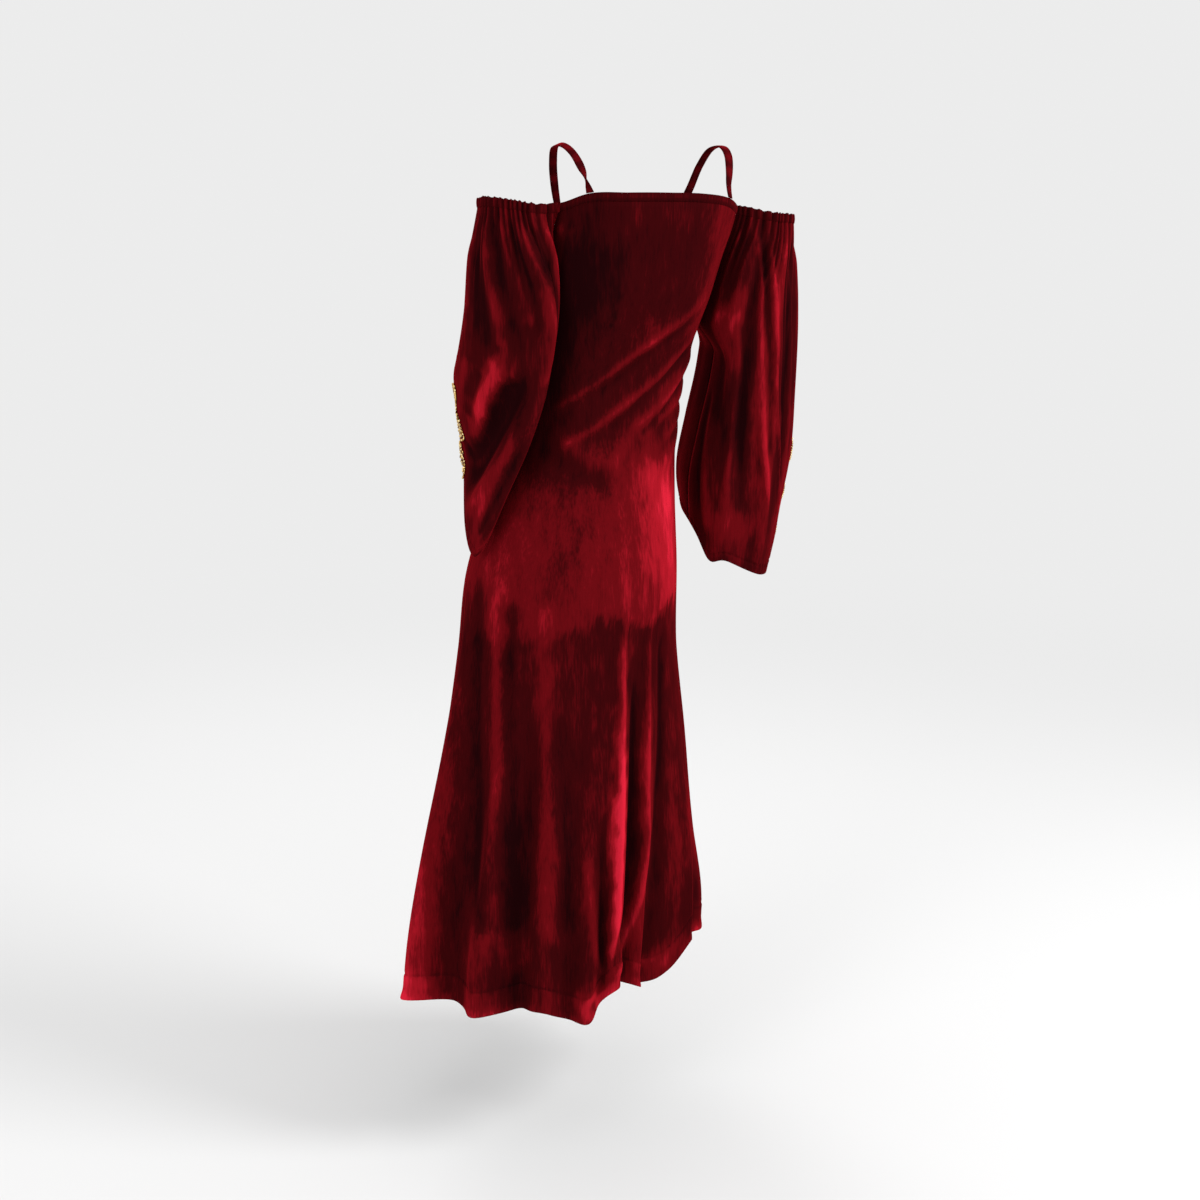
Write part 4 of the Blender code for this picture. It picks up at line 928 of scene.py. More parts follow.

# %% Finer gathers and creases of the sleeves, their nap, and painted light and shade
FINE_GATHERS = 31
FINE_GATHER_DEPTH = 0.0019
FINE_GATHER_FADE = 0.20
SLEEVE_CREASES = {
    LEFT: table(Crease, [
        (0.0030, 0.008, [(0.52, 0.02), (0.54, 0.14), (0.53, 0.30)]),
        (0.0034, 0.007, [(0.47, 0.02), (0.45, 0.16), (0.42, 0.30), (0.41, 0.38)]),
        (-0.0030, 0.007, [(0.42, 0.02), (0.40, 0.16), (0.38, 0.34)]),
        (0.0032, 0.007, [(0.37, 0.02), (0.35, 0.16), (0.32, 0.32)]),
        (-0.0028, 0.006, [(0.32, 0.02), (0.30, 0.18), (0.29, 0.34)]),
        (0.0030, 0.006, [(0.27, 0.02), (0.25, 0.16), (0.24, 0.38), (0.26, 0.46)]),
        (-0.0026, 0.006, [(0.21, 0.02), (0.20, 0.18), (0.20, 0.36)]),
        (0.0028, 0.006, [(0.15, 0.02), (0.14, 0.20), (0.16, 0.42)]),
        (0.0022, 0.006, [(0.08, 0.04), (0.07, 0.20), (0.10, 0.40)]),
        (0.0040, 0.009, [(0.44, 0.40), (0.405, 0.45), (0.42, 0.52), (0.43, 0.62)]),
        (-0.0060, 0.009, [(0.355, 0.44), (0.375, 0.50), (0.40, 0.60), (0.44, 0.72), (0.50, 0.84)]),
        (-0.0040, 0.006, [(0.385, 0.46), (0.40, 0.54), (0.41, 0.62)]),
        (0.0036, 0.006, [(0.345, 0.46), (0.365, 0.56), (0.40, 0.68), (0.46, 0.84)]),
        (0.0026, 0.007, [(0.30, 0.56), (0.31, 0.72), (0.33, 0.90)]),
        (-0.0024, 0.007, [(0.26, 0.62), (0.27, 0.78), (0.29, 0.94)]),
        (-0.0026, 0.008, [(0.47, 0.46), (0.48, 0.56), (0.48, 0.66)]),
        (0.0028, 0.008, [(0.51, 0.44), (0.52, 0.60), (0.52, 0.80)]),
        (0.0028, 0.008, [(0.62, 0.04), (0.62, 0.30), (0.64, 0.60)]),
        (-0.0028, 0.008, [(0.74, 0.04), (0.74, 0.30), (0.75, 0.70)]),
        (0.0028, 0.008, [(0.86, 0.06), (0.87, 0.34), (0.87, 0.80)]),
    ]),
    RIGHT: table(Crease, [
        (0.0028, 0.006, [(0.05, 0.03), (0.06, 0.20), (0.10, 0.44)]),
        (-0.0026, 0.006, [(0.09, 0.03), (0.10, 0.20), (0.13, 0.40)]),
        (0.0030, 0.006, [(0.13, 0.02), (0.15, 0.24), (0.17, 0.60), (0.18, 0.86)]),
        (0.0044, 0.004, [(0.11, 0.02), (0.215, 0.22), (0.253, 0.44), (0.272, 0.64), (0.318, 0.86)]),
        (-0.0036, 0.005, [(0.135, 0.03), (0.24, 0.22), (0.28, 0.46), (0.292, 0.70)]),
        (0.0036, 0.004, [(0.153, 0.02), (0.262, 0.23), (0.305, 0.50), (0.36, 0.70), (0.42, 0.88)]),
        (-0.0030, 0.006, [(0.30, 0.03), (0.33, 0.26), (0.36, 0.56)]),
        (0.0030, 0.006, [(0.35, 0.02), (0.38, 0.26), (0.40, 0.56), (0.40, 0.90)]),
        (-0.0028, 0.006, [(0.20, 0.44), (0.22, 0.66), (0.24, 0.86)]),
        (0.0026, 0.007, [(0.06, 0.56), (0.08, 0.74), (0.10, 0.94)]),
        (-0.0030, 0.007, [(0.02, 0.50), (0.03, 0.70), (0.06, 0.92)]),
        (0.0028, 0.007, [(0.46, 0.04), (0.47, 0.36), (0.47, 0.90)]),
        (-0.0028, 0.008, [(0.58, 0.04), (0.58, 0.40), (0.58, 0.88)]),
        (0.0028, 0.008, [(0.70, 0.05), (0.70, 0.40), (0.71, 0.92)]),
        (-0.0028, 0.008, [(0.82, 0.06), (0.82, 0.40), (0.82, 0.90)]),
    ]),
}
# Bright patches are partly stroked pile and partly painted highlights; dark ones are partly stroked pile and
# partly painted shade.
SLEEVE_NAP_AND_LIGHT_PATCHES = {
    LEFT: table(NapAndLightPatch, [
        (0.43, 0.470, 0.050, 0.040, 0.04), (0.46, 0.60, 0.030, 0.10, 0.34),
        (0.340, 0.86, 0.045, 0.10, 0.22), (0.37, 0.46, 0.014, 0.05, 0.20),
        (0.25, 0.97, 0.06, 0.04, 0.20), (0.40, 0.58, 0.020, 0.07, -0.12), (0.29, 0.56, 0.03, 0.08, -0.24),
        (0.27, 0.13, 0.06, 0.08, -0.26), (0.47, 0.18, 0.06, 0.16, -0.32),
        (0.45, 0.95, 0.07, 0.07, -0.16), (0.44, 0.335, 0.12, 0.035, -0.12),
        (0.70, 0.30, 0.10, 0.12, 0.12), (0.78, 0.66, 0.08, 0.12, 0.16),
    ]),
    RIGHT: table(NapAndLightPatch, [
        (0.105, 0.30, 0.030, 0.055, 0.26), (0.05, 0.15, 0.05, 0.12, -0.14),
        (0.25, 0.62, 0.016, 0.24, 0.16), (0.20, 0.90, 0.060, 0.07, 0.24),
        (0.00, 0.70, 0.06, 0.20, -0.16), (0.34, 0.60, 0.03, 0.20, -0.08),
        (0.14, 0.50, 0.080, 0.13, -0.26), (0.38, 0.34, 0.060, 0.18, -0.20),
        (0.32, 0.10, 0.06, 0.06, 0.06), (0.60, 0.40, 0.09, 0.14, 0.12),
        (0.285, 0.58, 0.02, 0.10, 0.20), (0.14, 0.12, 0.05, 0.10, -0.16),
        (0.02, 0.50, 0.06, 0.12, -0.22), (0.98, 0.50, 0.06, 0.12, -0.22),
        (0.76, 0.70, 0.09, 0.12, 0.14),
    ]),
}
SLEEVE_WIDTH = 0.42          # turns a share across a sleeve into a length across a crease
SLEEVE_LENGTH = 0.46
SLEEVE_HEM_TURN = 0.011      # height of the stitched hem
SLEEVE_COLUMNS, SLEEVE_UPPER, SLEEVE_LOWER, SLEEVE_HEM_ROWS = 217, 44, 96, 14
SLEEVE_HEM_SHARE = 0.965     # where the dense rows of the hem begin
# A corner of the right sleeve's hem that hangs lower.
CORNER_DROP, CORNER_ACROSS, CORNER_WIDTH, CORNER_FROM = 0.020, 0.12, 0.055, 0.70
SLEEVE_NAP_BASE = 0.29
# How much painted highlight a metre of a fold's or a crease's height adds, and painted shade for a trough.
SLEEVE_FOLD_LIGHT_AND_SHADE, SLEEVE_CREASE_LIGHT_AND_SHADE = 28, 62
FRINGE_ACROSS, FRINGE_SHARE = 0.014, 0.024
SLEEVE_RIPPLE = 0.0010
SLEEVE_GROOVE, SLEEVE_GROOVE_WIDTH = 0.0009, 0.0016


def sleeve_creases(side, across, share):
    flat = np.column_stack([across * SLEEVE_WIDTH, share * SLEEVE_LENGTH])
    creases = [
        crease._replace(line=[(a * SLEEVE_WIDTH, s * SLEEVE_LENGTH) for a, s in crease.line])
        for crease in SLEEVE_CREASES[side]
    ]
    return crease_height(flat, creases)


def fine_gathers(side, across, share):
    """Small gathers that spring from the elastic and run into one another lower down."""
    wander = 0.8 * np.sin(9 * across + 2 * side) + 0.5 * np.sin(23 * across)
    phase = 2 * np.pi * (FINE_GATHERS * across + wander)
    reach = FINE_GATHER_FADE * (1 + 0.5 * np.sin(40 * across + side))
    fade = 1 - rise(share / reach, 0.1, 1.0)
    return FINE_GATHER_DEPTH * fade * np.sin(phase) + 0.0006 * fade * np.sin(2.3 * phase)


def sleeve_nap_and_painted_light(side, across, share, lift, small):
    # Folds, gathers and creases paint highlight on their ridges and shade in their troughs.
    tone_and_painted_light = SLEEVE_NAP_BASE + SLEEVE_FOLD_LIGHT_AND_SHADE * (lift - small) + SLEEVE_CREASE_LIGHT_AND_SHADE * small
    flat = across * SLEEVE_WIDTH, share * SLEEVE_LENGTH
    across = across + FRINGE_ACROSS * ragged(*flat, 1.1 + side)
    share = share + FRINGE_SHARE * ragged(*flat, 5.5 + side)
    for patch in SLEEVE_NAP_AND_LIGHT_PATCHES[side]:
        over = (across - patch.angle) / patch.half_angle
        down = (share - patch.drop) / patch.half_drop
        tone_and_painted_light += patch.amount * np.exp(-(over**2) - down**2)
    tone_and_painted_light += NAP_RIPPLE * ripple(across * SLEEVE_WIDTH * 3, share * 0.9, 5.0 + side)
    return np.clip(tone_and_painted_light, 0, 1)


# %% Building the sleeves
def fine_sleeve(side):
    upper = np.linspace(0, UNDERARM_SHARE, SLEEVE_UPPER + 1)
    lower = np.linspace(UNDERARM_SHARE, SLEEVE_HEM_SHARE, SLEEVE_LOWER + 1)[1:]
    hem = np.linspace(SLEEVE_HEM_SHARE, 1, SLEEVE_HEM_ROWS + 1)[1:]
    levels = np.concatenate([upper, lower, hem])
    rows, columns = len(levels), SLEEVE_COLUMNS
    share, across = np.meshgrid(levels, np.linspace(0, 1, columns), indexing="ij")
    share, across = share.ravel(), across.ravel()
    points = sleeve_ring(side, edge_turn(share) * (1 - 2 * across), share)
    if side == RIGHT:
        corner = CORNER_DROP * bump(across - CORNER_ACROSS, CORNER_WIDTH) * rise(share, CORNER_FROM, 1)
        points = points - corner[:, None] * (0, 0, 1)
    held = np.minimum(share, UNDERARM_SHARE)
    fade = 1 - rise(share, UNDERARM_SHARE, UNDERARM_SHARE + ARMHOLE_FADE)
    for front in (False, True):
        edge = sleeve_ring(side, edge_turn(held) * (-1 if front else 1), held)
        near = 1 - rise(1 - across if front else across, 0, ARMHOLE_BLEND)
        points = points + (near * fade)[:, None] * (armhole_points(side, front, held) - edge)
    grid = points.reshape(rows, columns, 3)
    lift = sleeve_swell(side, across, share)
    margin = rise(np.minimum(across, 1 - across), 0, 0.05)
    small = fine_gathers(side, across, share) + sleeve_creases(side, across, share)
    small = small + SLEEVE_RIPPLE * ripple(across * SLEEVE_WIDTH, share * SLEEVE_LENGTH, 3.0 * side)
    lift = lift + small * margin
    above = (1 - share) * SLEEVE_LENGTH
    pull = 0.0005 * np.sin(across * 260) * bump(above - SLEEVE_HEM_TURN, 0.005)
    lift = lift - SLEEVE_GROOVE * bump(above - SLEEVE_HEM_TURN, SLEEVE_GROOVE_WIDTH) + pull
    down, over = np.gradient(grid, axis=0), np.gradient(grid, axis=1)
    joined = grid[SLEEVE_UPPER:, 1] - grid[SLEEVE_UPPER:, -2]
    over[SLEEVE_UPPER:, 0] = over[SLEEVE_UPPER:, -1] = joined
    out = np.cross(over, down) * side
    out /= np.linalg.norm(out, axis=2)[:, :, None]
    folded = (grid + out * lift.reshape(rows, columns, 1)).reshape(-1, 3)
    round_arm = rise(np.minimum(across, 1 - across), 0, 0.10)
    below = rise(share, UNDERARM_SHARE, UNDERARM_SHARE + 0.10)
    cleared = clear_of_body(folded, SLEEVE_CLEAR + SLEEVE_CLEAR_ROUND * np.maximum(round_arm, below))
    sewn = (share <= UNDERARM_SHARE) & ((across == 0) | (across == 1))
    cleared[sewn] = folded[sewn]
    grid = cleared.reshape(rows, columns, 3)
    seam = grid[SLEEVE_UPPER:, 0] + grid[SLEEVE_UPPER:, -1]
    grid[SLEEVE_UPPER:, 0] = grid[SLEEVE_UPPER:, -1] = seam / 2
    over = np.gradient(grid, axis=1)
    over[SLEEVE_UPPER:, 0] = over[SLEEVE_UPPER:, -1] = grid[SLEEVE_UPPER:, 1] - grid[SLEEVE_UPPER:, -2]
    out = np.cross(over, np.gradient(grid, axis=0)) * side
    out[0, :, 2] = 0
    out /= np.linalg.norm(out, axis=2)[:, :, None]
    tone_and_painted_light = sleeve_nap_and_painted_light(side, across, share, lift, small * margin).reshape(rows, columns)
    return grid, out, tone_and_painted_light


sleeves = {}
for side, word in SIDES:
    grid, out, tone_and_painted_light = fine_sleeve(side)
    piece = cloth_sheet(f"velvet_{word}_sleeve", grid, grid - out * WALL, tone_and_painted_light, side)
    sleeves[side] = (piece, grid, out)

# %% [markdown]
# ## Neck bands and elastic casings
#
# The neckline is finished with a narrow band folded double, and each sleeve's top edge with a
# casing of the same width that hides elastic. Both are long flat tubes, so one cross-section with
# soft edges is drawn along the edge it finishes. On a casing the elastic bunches the cloth, so the
# section swells and shrinks from gather to gather and its top edge wavers.

# %% Bands along an edge
BAND_SECTION = 14            # points round the band
BAND_STEPS = 241
SOFT_HIGH, SOFT_THICK = 0.75, 0.55           # under 1, a section is squarer than an ellipse
STITCH_PLACE, STITCH_DEPTH = 0.72, 0.0007    # a stitched line, as a share of half the band's height
CASING_PUFF = 0.0006
CASING_WAVER = 0.0007        # how far its top edge rises and falls
CASING_OVERLAP = 0.0012      # how far it comes down over the sleeve's top edge


def closed_tube(name, rings, tone_and_painted_light):
    """A tube through rings of points, closed at both ends by a point inside."""
    count, around = rings.shape[:2]
    ends = np.array([rings[0].mean(axis=0), rings[-1].mean(axis=0)])
    points = np.concatenate([rings.reshape(-1, 3), ends])
    faces = []
    for k in range(count - 1):
        for c in range(around):
            a, b = k * around + c, k * around + (c + 1) % around
            faces.append((a, b, b + around, a + around))
    last = (count - 1) * around
    for c in range(around):
        following = (c + 1) % around
        faces.append((following, c, count * around))
        faces.append((last + c, last + following, count * around + 1))
    values = np.concatenate([tone_and_painted_light.reshape(-1), [tone_and_painted_light[0].mean(), tone_and_painted_light[-1].mean()]])
    piece = mesh_piece(name, points, faces, values)
    bpy.ops.object.select_all(action="DESELECT")
    piece.select_set(True)
    bpy.context.view_layer.objects.active = piece
    bpy.ops.object.mode_set(mode="EDIT")
    bpy.ops.mesh.select_all(action="SELECT")
    bpy.ops.mesh.normals_make_consistent(inside=False)
    bpy.ops.object.mode_set(mode="OBJECT")
    return piece


def flat_section(count):
    """Offsets along the height and the thickness, from -1 to 1, of a flat soft-edged section."""
    turn = np.linspace(0, 2 * np.pi, count, endpoint=False)
    high = power(np.sin(turn), SOFT_HIGH)
    thick = power(np.cos(turn), SOFT_THICK)
    return high, thick


def band_angles(front):
    corners = (180 + ARMHOLE_FRONT, 360 - ARMHOLE_FRONT) if front else (ARMHOLE_BACK, 180 - ARMHOLE_BACK)
    gap = seam_turn(SEAM_GAP)
    return np.linspace(corners[0] + gap, corners[1] - gap, BAND_STEPS)


def neck_band(front):
    angle = band_angles(front)
    top = neck_drop(angle)
    high, thick = flat_section(BAND_SECTION)
    rings, tones_and_painted_light = [], []
    pucker = 0.0004 * np.sin(angle * 5.1) + 0.0003 * np.sin(angle * 2.3 + 1)
    for h, t in zip(high, thick):
        drop = top + BAND_HEIGHT * (0.5 - 0.5 * h)
        stitched = -STITCH_DEPTH * bump(h + STITCH_PLACE, 0.16)
        out = (BAND_WALL - WALL) / 2 - BAND_WALL / 2
        half = BAND_WALL / 2 + (stitched + pucker * (1 - h * h)) * (1 if t > 0 else 0)
        rings.append(body_points(angle, drop, out + half * t))
        # Painted highlight along the band's middle and on its puckers, painted shade along the stitched
        # groove.
        tones_and_painted_light.append(0.26 + 0.10 * bump(h - 0.2, 0.5) - 0.10 * bump(h + STITCH_PLACE, 0.2) + 60 * pucker)
    name = "velvet_front_band" if front else "velvet_back_band"
    return closed_tube(name, np.array(rings).swapaxes(0, 1), np.array(tones_and_painted_light).T)


def elastic_casing(side, word):
    grid, out = sleeves[side][1:]
    across = np.linspace(0, 1, grid.shape[1])
    level_out = out[0]
    middle = grid[0] - level_out * WALL / 2 + (0, 0, SEAM_GAP)
    high, thick = flat_section(BAND_SECTION)
    wander = 0.8 * np.sin(9 * across + 2 * side) + 0.5 * np.sin(23 * across)
    phase = 2 * np.pi * (FINE_GATHERS * across + wander)
    bunch = np.sin(phase) + 0.35 * np.sin(2.3 * phase)
    edge = rise(np.minimum(across, 1 - across), 0, 0.03)
    rings, tones_and_painted_light = [], []
    for h, t in zip(high, thick):
        waver = CASING_WAVER * bunch * edge * (1 if h > 0.5 else 0)
        height = SEAM_GAP + BAND_HEIGHT * (0.5 + 0.5 * h) + waver - CASING_OVERLAP * (1 if h < -0.5 else 0)
        puff = CASING_PUFF * bunch * edge * (0.45 + 0.55 * bump(h, 0.6))
        half = BAND_WALL / 2 + (puff if t > 0 else 0.4 * puff)
        rings.append(middle + (0, 0, 1) * height[:, None] + level_out * (half * t)[:, None])
        # Painted highlight where the gathers puff out on the outer face, painted shade where they sink in.
        tones_and_painted_light.append(np.clip(0.28 + 150 * puff * (t > 0), 0, 1))
    return closed_tube(f"velvet_{word}_casing", np.array(rings).swapaxes(0, 1), np.array(tones_and_painted_light).T)


bands = {front: neck_band(front) for front in (False, True)}
casings = {side: elastic_casing(side, word) for side, word in SIDES}
print("bands:", [piece.name for piece in bands.values()], [piece.name for piece in casings.values()])

# %% [markdown]
# ## Straps
#
# A strap is a velvet ribbon sewn as a flat tube. It leaves the back band, crosses the shoulder and
# comes down to the front band; the left one turns over on the way. It is drawn like the bands, one
# soft section along its route, and the section turns with the ribbon.

# %% The straps' routes
# Where the straps leave the neck bands, the route between, and the ribbon's turn.
STRAP_BACK_ANGLE = {LEFT: 35.0, RIGHT: 146.5}
STRAP_FRONT_ANGLE = {LEFT: 317.0, RIGHT: 223.0}
STRAP_SETTLE = 0.3       # share of a strap over which it turns from along the band to square on
StrapPoint = namedtuple("StrapPoint", "out y drop turn")
STRAPS = {
    LEFT: table(StrapPoint, [
        (0.1015, 0.0690, 0.0440, 60), (0.1045, 0.0590, 0.0280, 150),
        (0.1090, 0.0390, 0.0085, 180), (0.1140, 0.0130, -0.0030, 192),
        (0.1160, -0.0030, -0.0040, 205), (0.1160, -0.0190, -0.0010, 194),
        (0.1110, -0.0420, 0.0190, 180), (0.1010, -0.0640, 0.0560, 180),
    ]),
    RIGHT: table(StrapPoint, [
        (0.1035, 0.0660, 0.0500, 0), (0.1080, 0.0570, 0.0320, 0),
        (0.1140, 0.0390, 0.0110, 0), (0.1170, 0.0120, -0.0010, 0),
        (0.1160, -0.0050, -0.0014, 0), (0.1140, -0.0200, 0.0020, 0),
        (0.1090, -0.0440, 0.0220, 0), (0.1000, -0.0650, 0.0600, 0),
    ]),
}


def strap_end(angle, turn):
    """A strap's end on the top edge of a neck band, as a row of the strap's table."""
    x, y, z = body_points(angle, neck_drop(np.array([angle])))[0]
    return StrapPoint(abs(x), y, -z, turn)


def along_band(angle):
    """The level direction along a neck band, towards the wearer's left."""
    step = body_points(angle + 2, 0.07)[0] - body_points(angle - 2, 0.07)[0]
    return step * np.sign(step[0]) / np.linalg.norm(step)


def strap_corners(side):
    """Rings of four corners along a strap, which is a ribbon that can turn over."""
    over_shoulder = STRAPS[side]
    start = strap_end(STRAP_BACK_ANGLE[side], 0)
    rows = [start, *over_shoulder, strap_end(STRAP_FRONT_ANGLE[side], over_shoulder[-1].turn)]
    points = np.array([row[:3] for row in rows])
    share = np.append(0, np.cumsum(np.linalg.norm(np.diff(points, axis=0), axis=1)))
    found = through(share, rows, np.linspace(0, share[-1], STRAP_POINTS))
    path = found[:, :3] * (side, 1, -1)
    along = np.gradient(path, axis=0)
    along /= np.linalg.norm(along, axis=1)[:, None]
    share = np.linspace(0, 1, STRAP_POINTS)[:, None]
    sideways = np.array([1.0, 0, 0])
    over = sideways + (along_band(STRAP_BACK_ANGLE[side]) - sideways) * (1 - rise(share, 0, STRAP_SETTLE))
    over = over + (along_band(STRAP_FRONT_ANGLE[side]) - sideways) * rise(share, 1 - STRAP_SETTLE, 1)
    over = over - along * np.sum(over * along, axis=1)[:, None]
    over /= np.linalg.norm(over, axis=1)[:, None]
    up = np.cross(over, along)
    turn = np.radians(found[:, 3])[:, None]
    wide = over * np.cos(turn) + up * np.sin(turn)
    thick = np.cross(wide, along) * STRAP_THICKNESS / 2
    wide = wide * STRAP_WIDTH / 2
    corners = [path + wide + thick, path - wide + thick, path - wide - thick, path + wide - thick]
    rings = np.stack(corners, axis=1)
    for end, front in ((0, False), (-1, True)):
        x, y = (rings[end, :, :2] - body_centre(-rings[end, :, 2])).T
        angle = np.degrees(np.arctan2(y, x)) % 360
        band = band_angles(front)
        rings[end, :, 2] = STRAP_GAP - np.interp(angle, band, neck_drop(band))
    return rings


print("strap points:", {side: len(rows) for side, rows in STRAPS.items()})

# %% Building the straps
STRAP_RINGS = 97


def soft_strap(side, word):
    corners = strap_corners(side)
    coarse = np.linspace(0, 1, len(corners))
    fine = np.linspace(0, 1, STRAP_RINGS)
    smooth = through(coarse, corners.reshape(len(corners), 12), fine).reshape(-1, 4, 3)
    middle = smooth.mean(axis=1)
    wide = (smooth[:, 0] + smooth[:, 3] - smooth[:, 1] - smooth[:, 2]) / 4
    thick = (smooth[:, 0] + smooth[:, 1] - smooth[:, 2] - smooth[:, 3]) / 4
    high, deep = flat_section(BAND_SECTION)
    rings, tones_and_painted_light = [], []
    for h, t in zip(high, deep):
        stitched = 1 - 0.22 * bump(abs(h) - STITCH_PLACE, 0.12)
        rings.append(middle + wide * h + thick * (t * stitched))
        # Painted highlight along the middle of the ribbon's width; the small waves along its length vary the
        # pile's tone.
        tones_and_painted_light.append(np.full(STRAP_RINGS, 0.30 + 0.10 * (1 - h * h)) + 0.06 * np.sin(fine * 60 + side))
    return closed_tube(f"velvet_{word}_strap", np.array(rings).swapaxes(0, 1), np.array(tones_and_painted_light).T)


straps = {side: soft_strap(side, word) for side, word in SIDES}
print("straps:", [piece.name for piece in straps.values()])

# %% [markdown]
# ## Beaded motifs
#
# Gold beads and sequins are sewn down the outside of each lower sleeve in small leaf shapes. One
# bead and one sequin are modelled, and a copy is set down at each place of a leaf, turned to face
# out of the cloth. The places follow rows along the leaf, so each leaf has a beaded outline and a
# middle vein, with sequins and a few more beads between.

# %% One bead and one sequin
BEAD_SIZE = 0.0032
BEAD_SQUASH = 0.82           # its height, as a share of its width
SEQUIN_SIZE = 0.0042
SEQUIN_THICKNESS = 0.0005
SEQUIN_HOLLOW = 0.0003       # depth of the dished middle
SEQUIN_RIM = 0.28            # width of the rim round it, as a share of the sequin's


def model_bead():
    bpy.ops.object.select_all(action="DESELECT")
    bpy.ops.mesh.primitive_uv_sphere_add(segments=10, ring_count=6, radius=BEAD_SIZE / 2, location=(0, 0, 0))
    bead = bpy.context.object
    bpy.ops.object.mode_set(mode="EDIT")
    bpy.ops.mesh.select_all(action="SELECT")
    bpy.ops.transform.resize(value=(1, 1, BEAD_SQUASH))
    bpy.ops.object.mode_set(mode="OBJECT")
    return bead


def model_sequin():
    bpy.ops.object.select_all(action="DESELECT")
    bpy.ops.mesh.primitive_cylinder_add(
        vertices=12, radius=SEQUIN_SIZE / 2, depth=SEQUIN_THICKNESS, location=(0, 0, 0)
    )
    sequin = bpy.context.object
    bpy.ops.object.mode_set(mode="EDIT")
    bpy.ops.mesh.select_all(action="DESELECT")
    bpy.ops.object.mode_set(mode="OBJECT")
    for face in sequin.data.polygons:
        face.select = face.normal.z > 0.9
    bpy.ops.object.mode_set(mode="EDIT")
    bpy.ops.mesh.select_mode(type="FACE")
    bpy.ops.mesh.inset(thickness=SEQUIN_SIZE * SEQUIN_RIM, depth=-SEQUIN_HOLLOW)
    bpy.ops.object.mode_set(mode="OBJECT")
    return sequin


def shape_of(model):
    """The points and the faces of a model, which is then removed."""
    points = np.array([v.co for v in model.data.vertices])
    faces = [tuple(face.vertices) for face in model.data.polygons]
    bpy.data.objects.remove(model)
    return points, faces


BEAD = shape_of(model_bead())
SEQUIN = shape_of(model_sequin())
print("bead faces:", len(BEAD[1]), "sequin faces:", len(SEQUIN[1]))

# %% Where the motifs lie
# Motifs down the outside of each lower sleeve: place on the sleeve, and size of the leaf.
Motif = namedtuple("Motif", "across share length width")
MOTIFS = {
    LEFT: table(Motif, [
        (0.545, 0.66, 0.034, 0.020), (0.525, 0.79, 0.044, 0.026),
        (0.505, 0.93, 0.034, 0.020),
    ]),
    RIGHT: table(Motif, [
        (0.475, 0.66, 0.040, 0.022), (0.478, 0.79, 0.036, 0.022),
        (0.480, 0.90, 0.040, 0.024),
    ]),
}
MOTIF_TIP = 0.25         # width of a leaf's blunt tip, as a share of its width


def on_grid(grid, row, column):
    """Values of a grid between its points, with each cell as two flat triangles."""
    r = np.clip(np.floor(row).astype(int), 0, grid.shape[0] - 2)
    c = np.clip(np.floor(column).astype(int), 0, grid.shape[1] - 2)
    u, v = (row - r)[..., None], (column - c)[..., None]
    a, b, low_a, low_b = grid[r, c], grid[r, c + 1], grid[r + 1, c], grid[r + 1, c + 1]
    return np.where(u + v <= 1, a + u * (low_a - a) + v * (b - a),
                    low_b + (1 - u) * (b - low_b) + (1 - v) * (low_a - low_b))

# %% Leaves of beads
LEAF_ROWS = 13
LEAF_LIFT = 0.0004           # from the cloth to a bead's underside
SEQUIN_LIFT, SEQUIN_LAYER = 0.0011, 0.0004   # further for a sequin, and between their three layers
SEQUIN_TIP = 0.35            # how far the sequins tip this way and that
VEIN = 0.12                  # half the width of a leaf's vein, as a share of half the leaf's
TOP_TOWARDS = (0.3, 0.2, 1.0)                # a bead's first axis is square to this and to its way out
WIDTH_ROW = -20              # the row, counted from the hem, where a sleeve's width is measured


def sleeve_place(side, across, share):
    """A point on the fine sleeve, and the way out of the cloth there."""
    grid, out = sleeves[side][1:]
    low_rows = grid.shape[0] - 1 - SLEEVE_UPPER
    part = (share - UNDERARM_SHARE) / (SLEEVE_HEM_SHARE - UNDERARM_SHARE)
    late = (share - SLEEVE_HEM_SHARE) / (1 - SLEEVE_HEM_SHARE)
    row = np.where(part < 1, part * SLEEVE_LOWER, SLEEVE_LOWER + late * SLEEVE_HEM_ROWS)
    row = SLEEVE_UPPER + np.clip(row, 0, low_rows - 0.001)
    column = across * (SLEEVE_COLUMNS - 1)
    place = on_grid(grid, row, column)
    away = on_grid(out, row, column)
    return place, away / np.linalg.norm(away, axis=-1)[..., None]


def leaf_places(motif):
    """Places in a leaf: along and over it, from -1 to 1, and whether each is a bead or a sequin."""
    places = []
    for k in range(LEAF_ROWS):
        along = -1 + 2 * k / (LEAF_ROWS - 1)
        half = MOTIF_TIP + (1 - MOTIF_TIP) * math.sqrt(1 - along**2)
        count = max(1, round(2 * half * motif.width / 2 / (BEAD_SIZE * 0.95)))
        for c in range(count):
            over = 0 if count == 1 else half * (-1 + 2 * c / (count - 1))
            rim = c in (0, count - 1) or k in (0, LEAF_ROWS - 1)
            vein = abs(over) < VEIN
            places.append((along, over, rim or vein or (k + c) % 3 == 0))
    return places


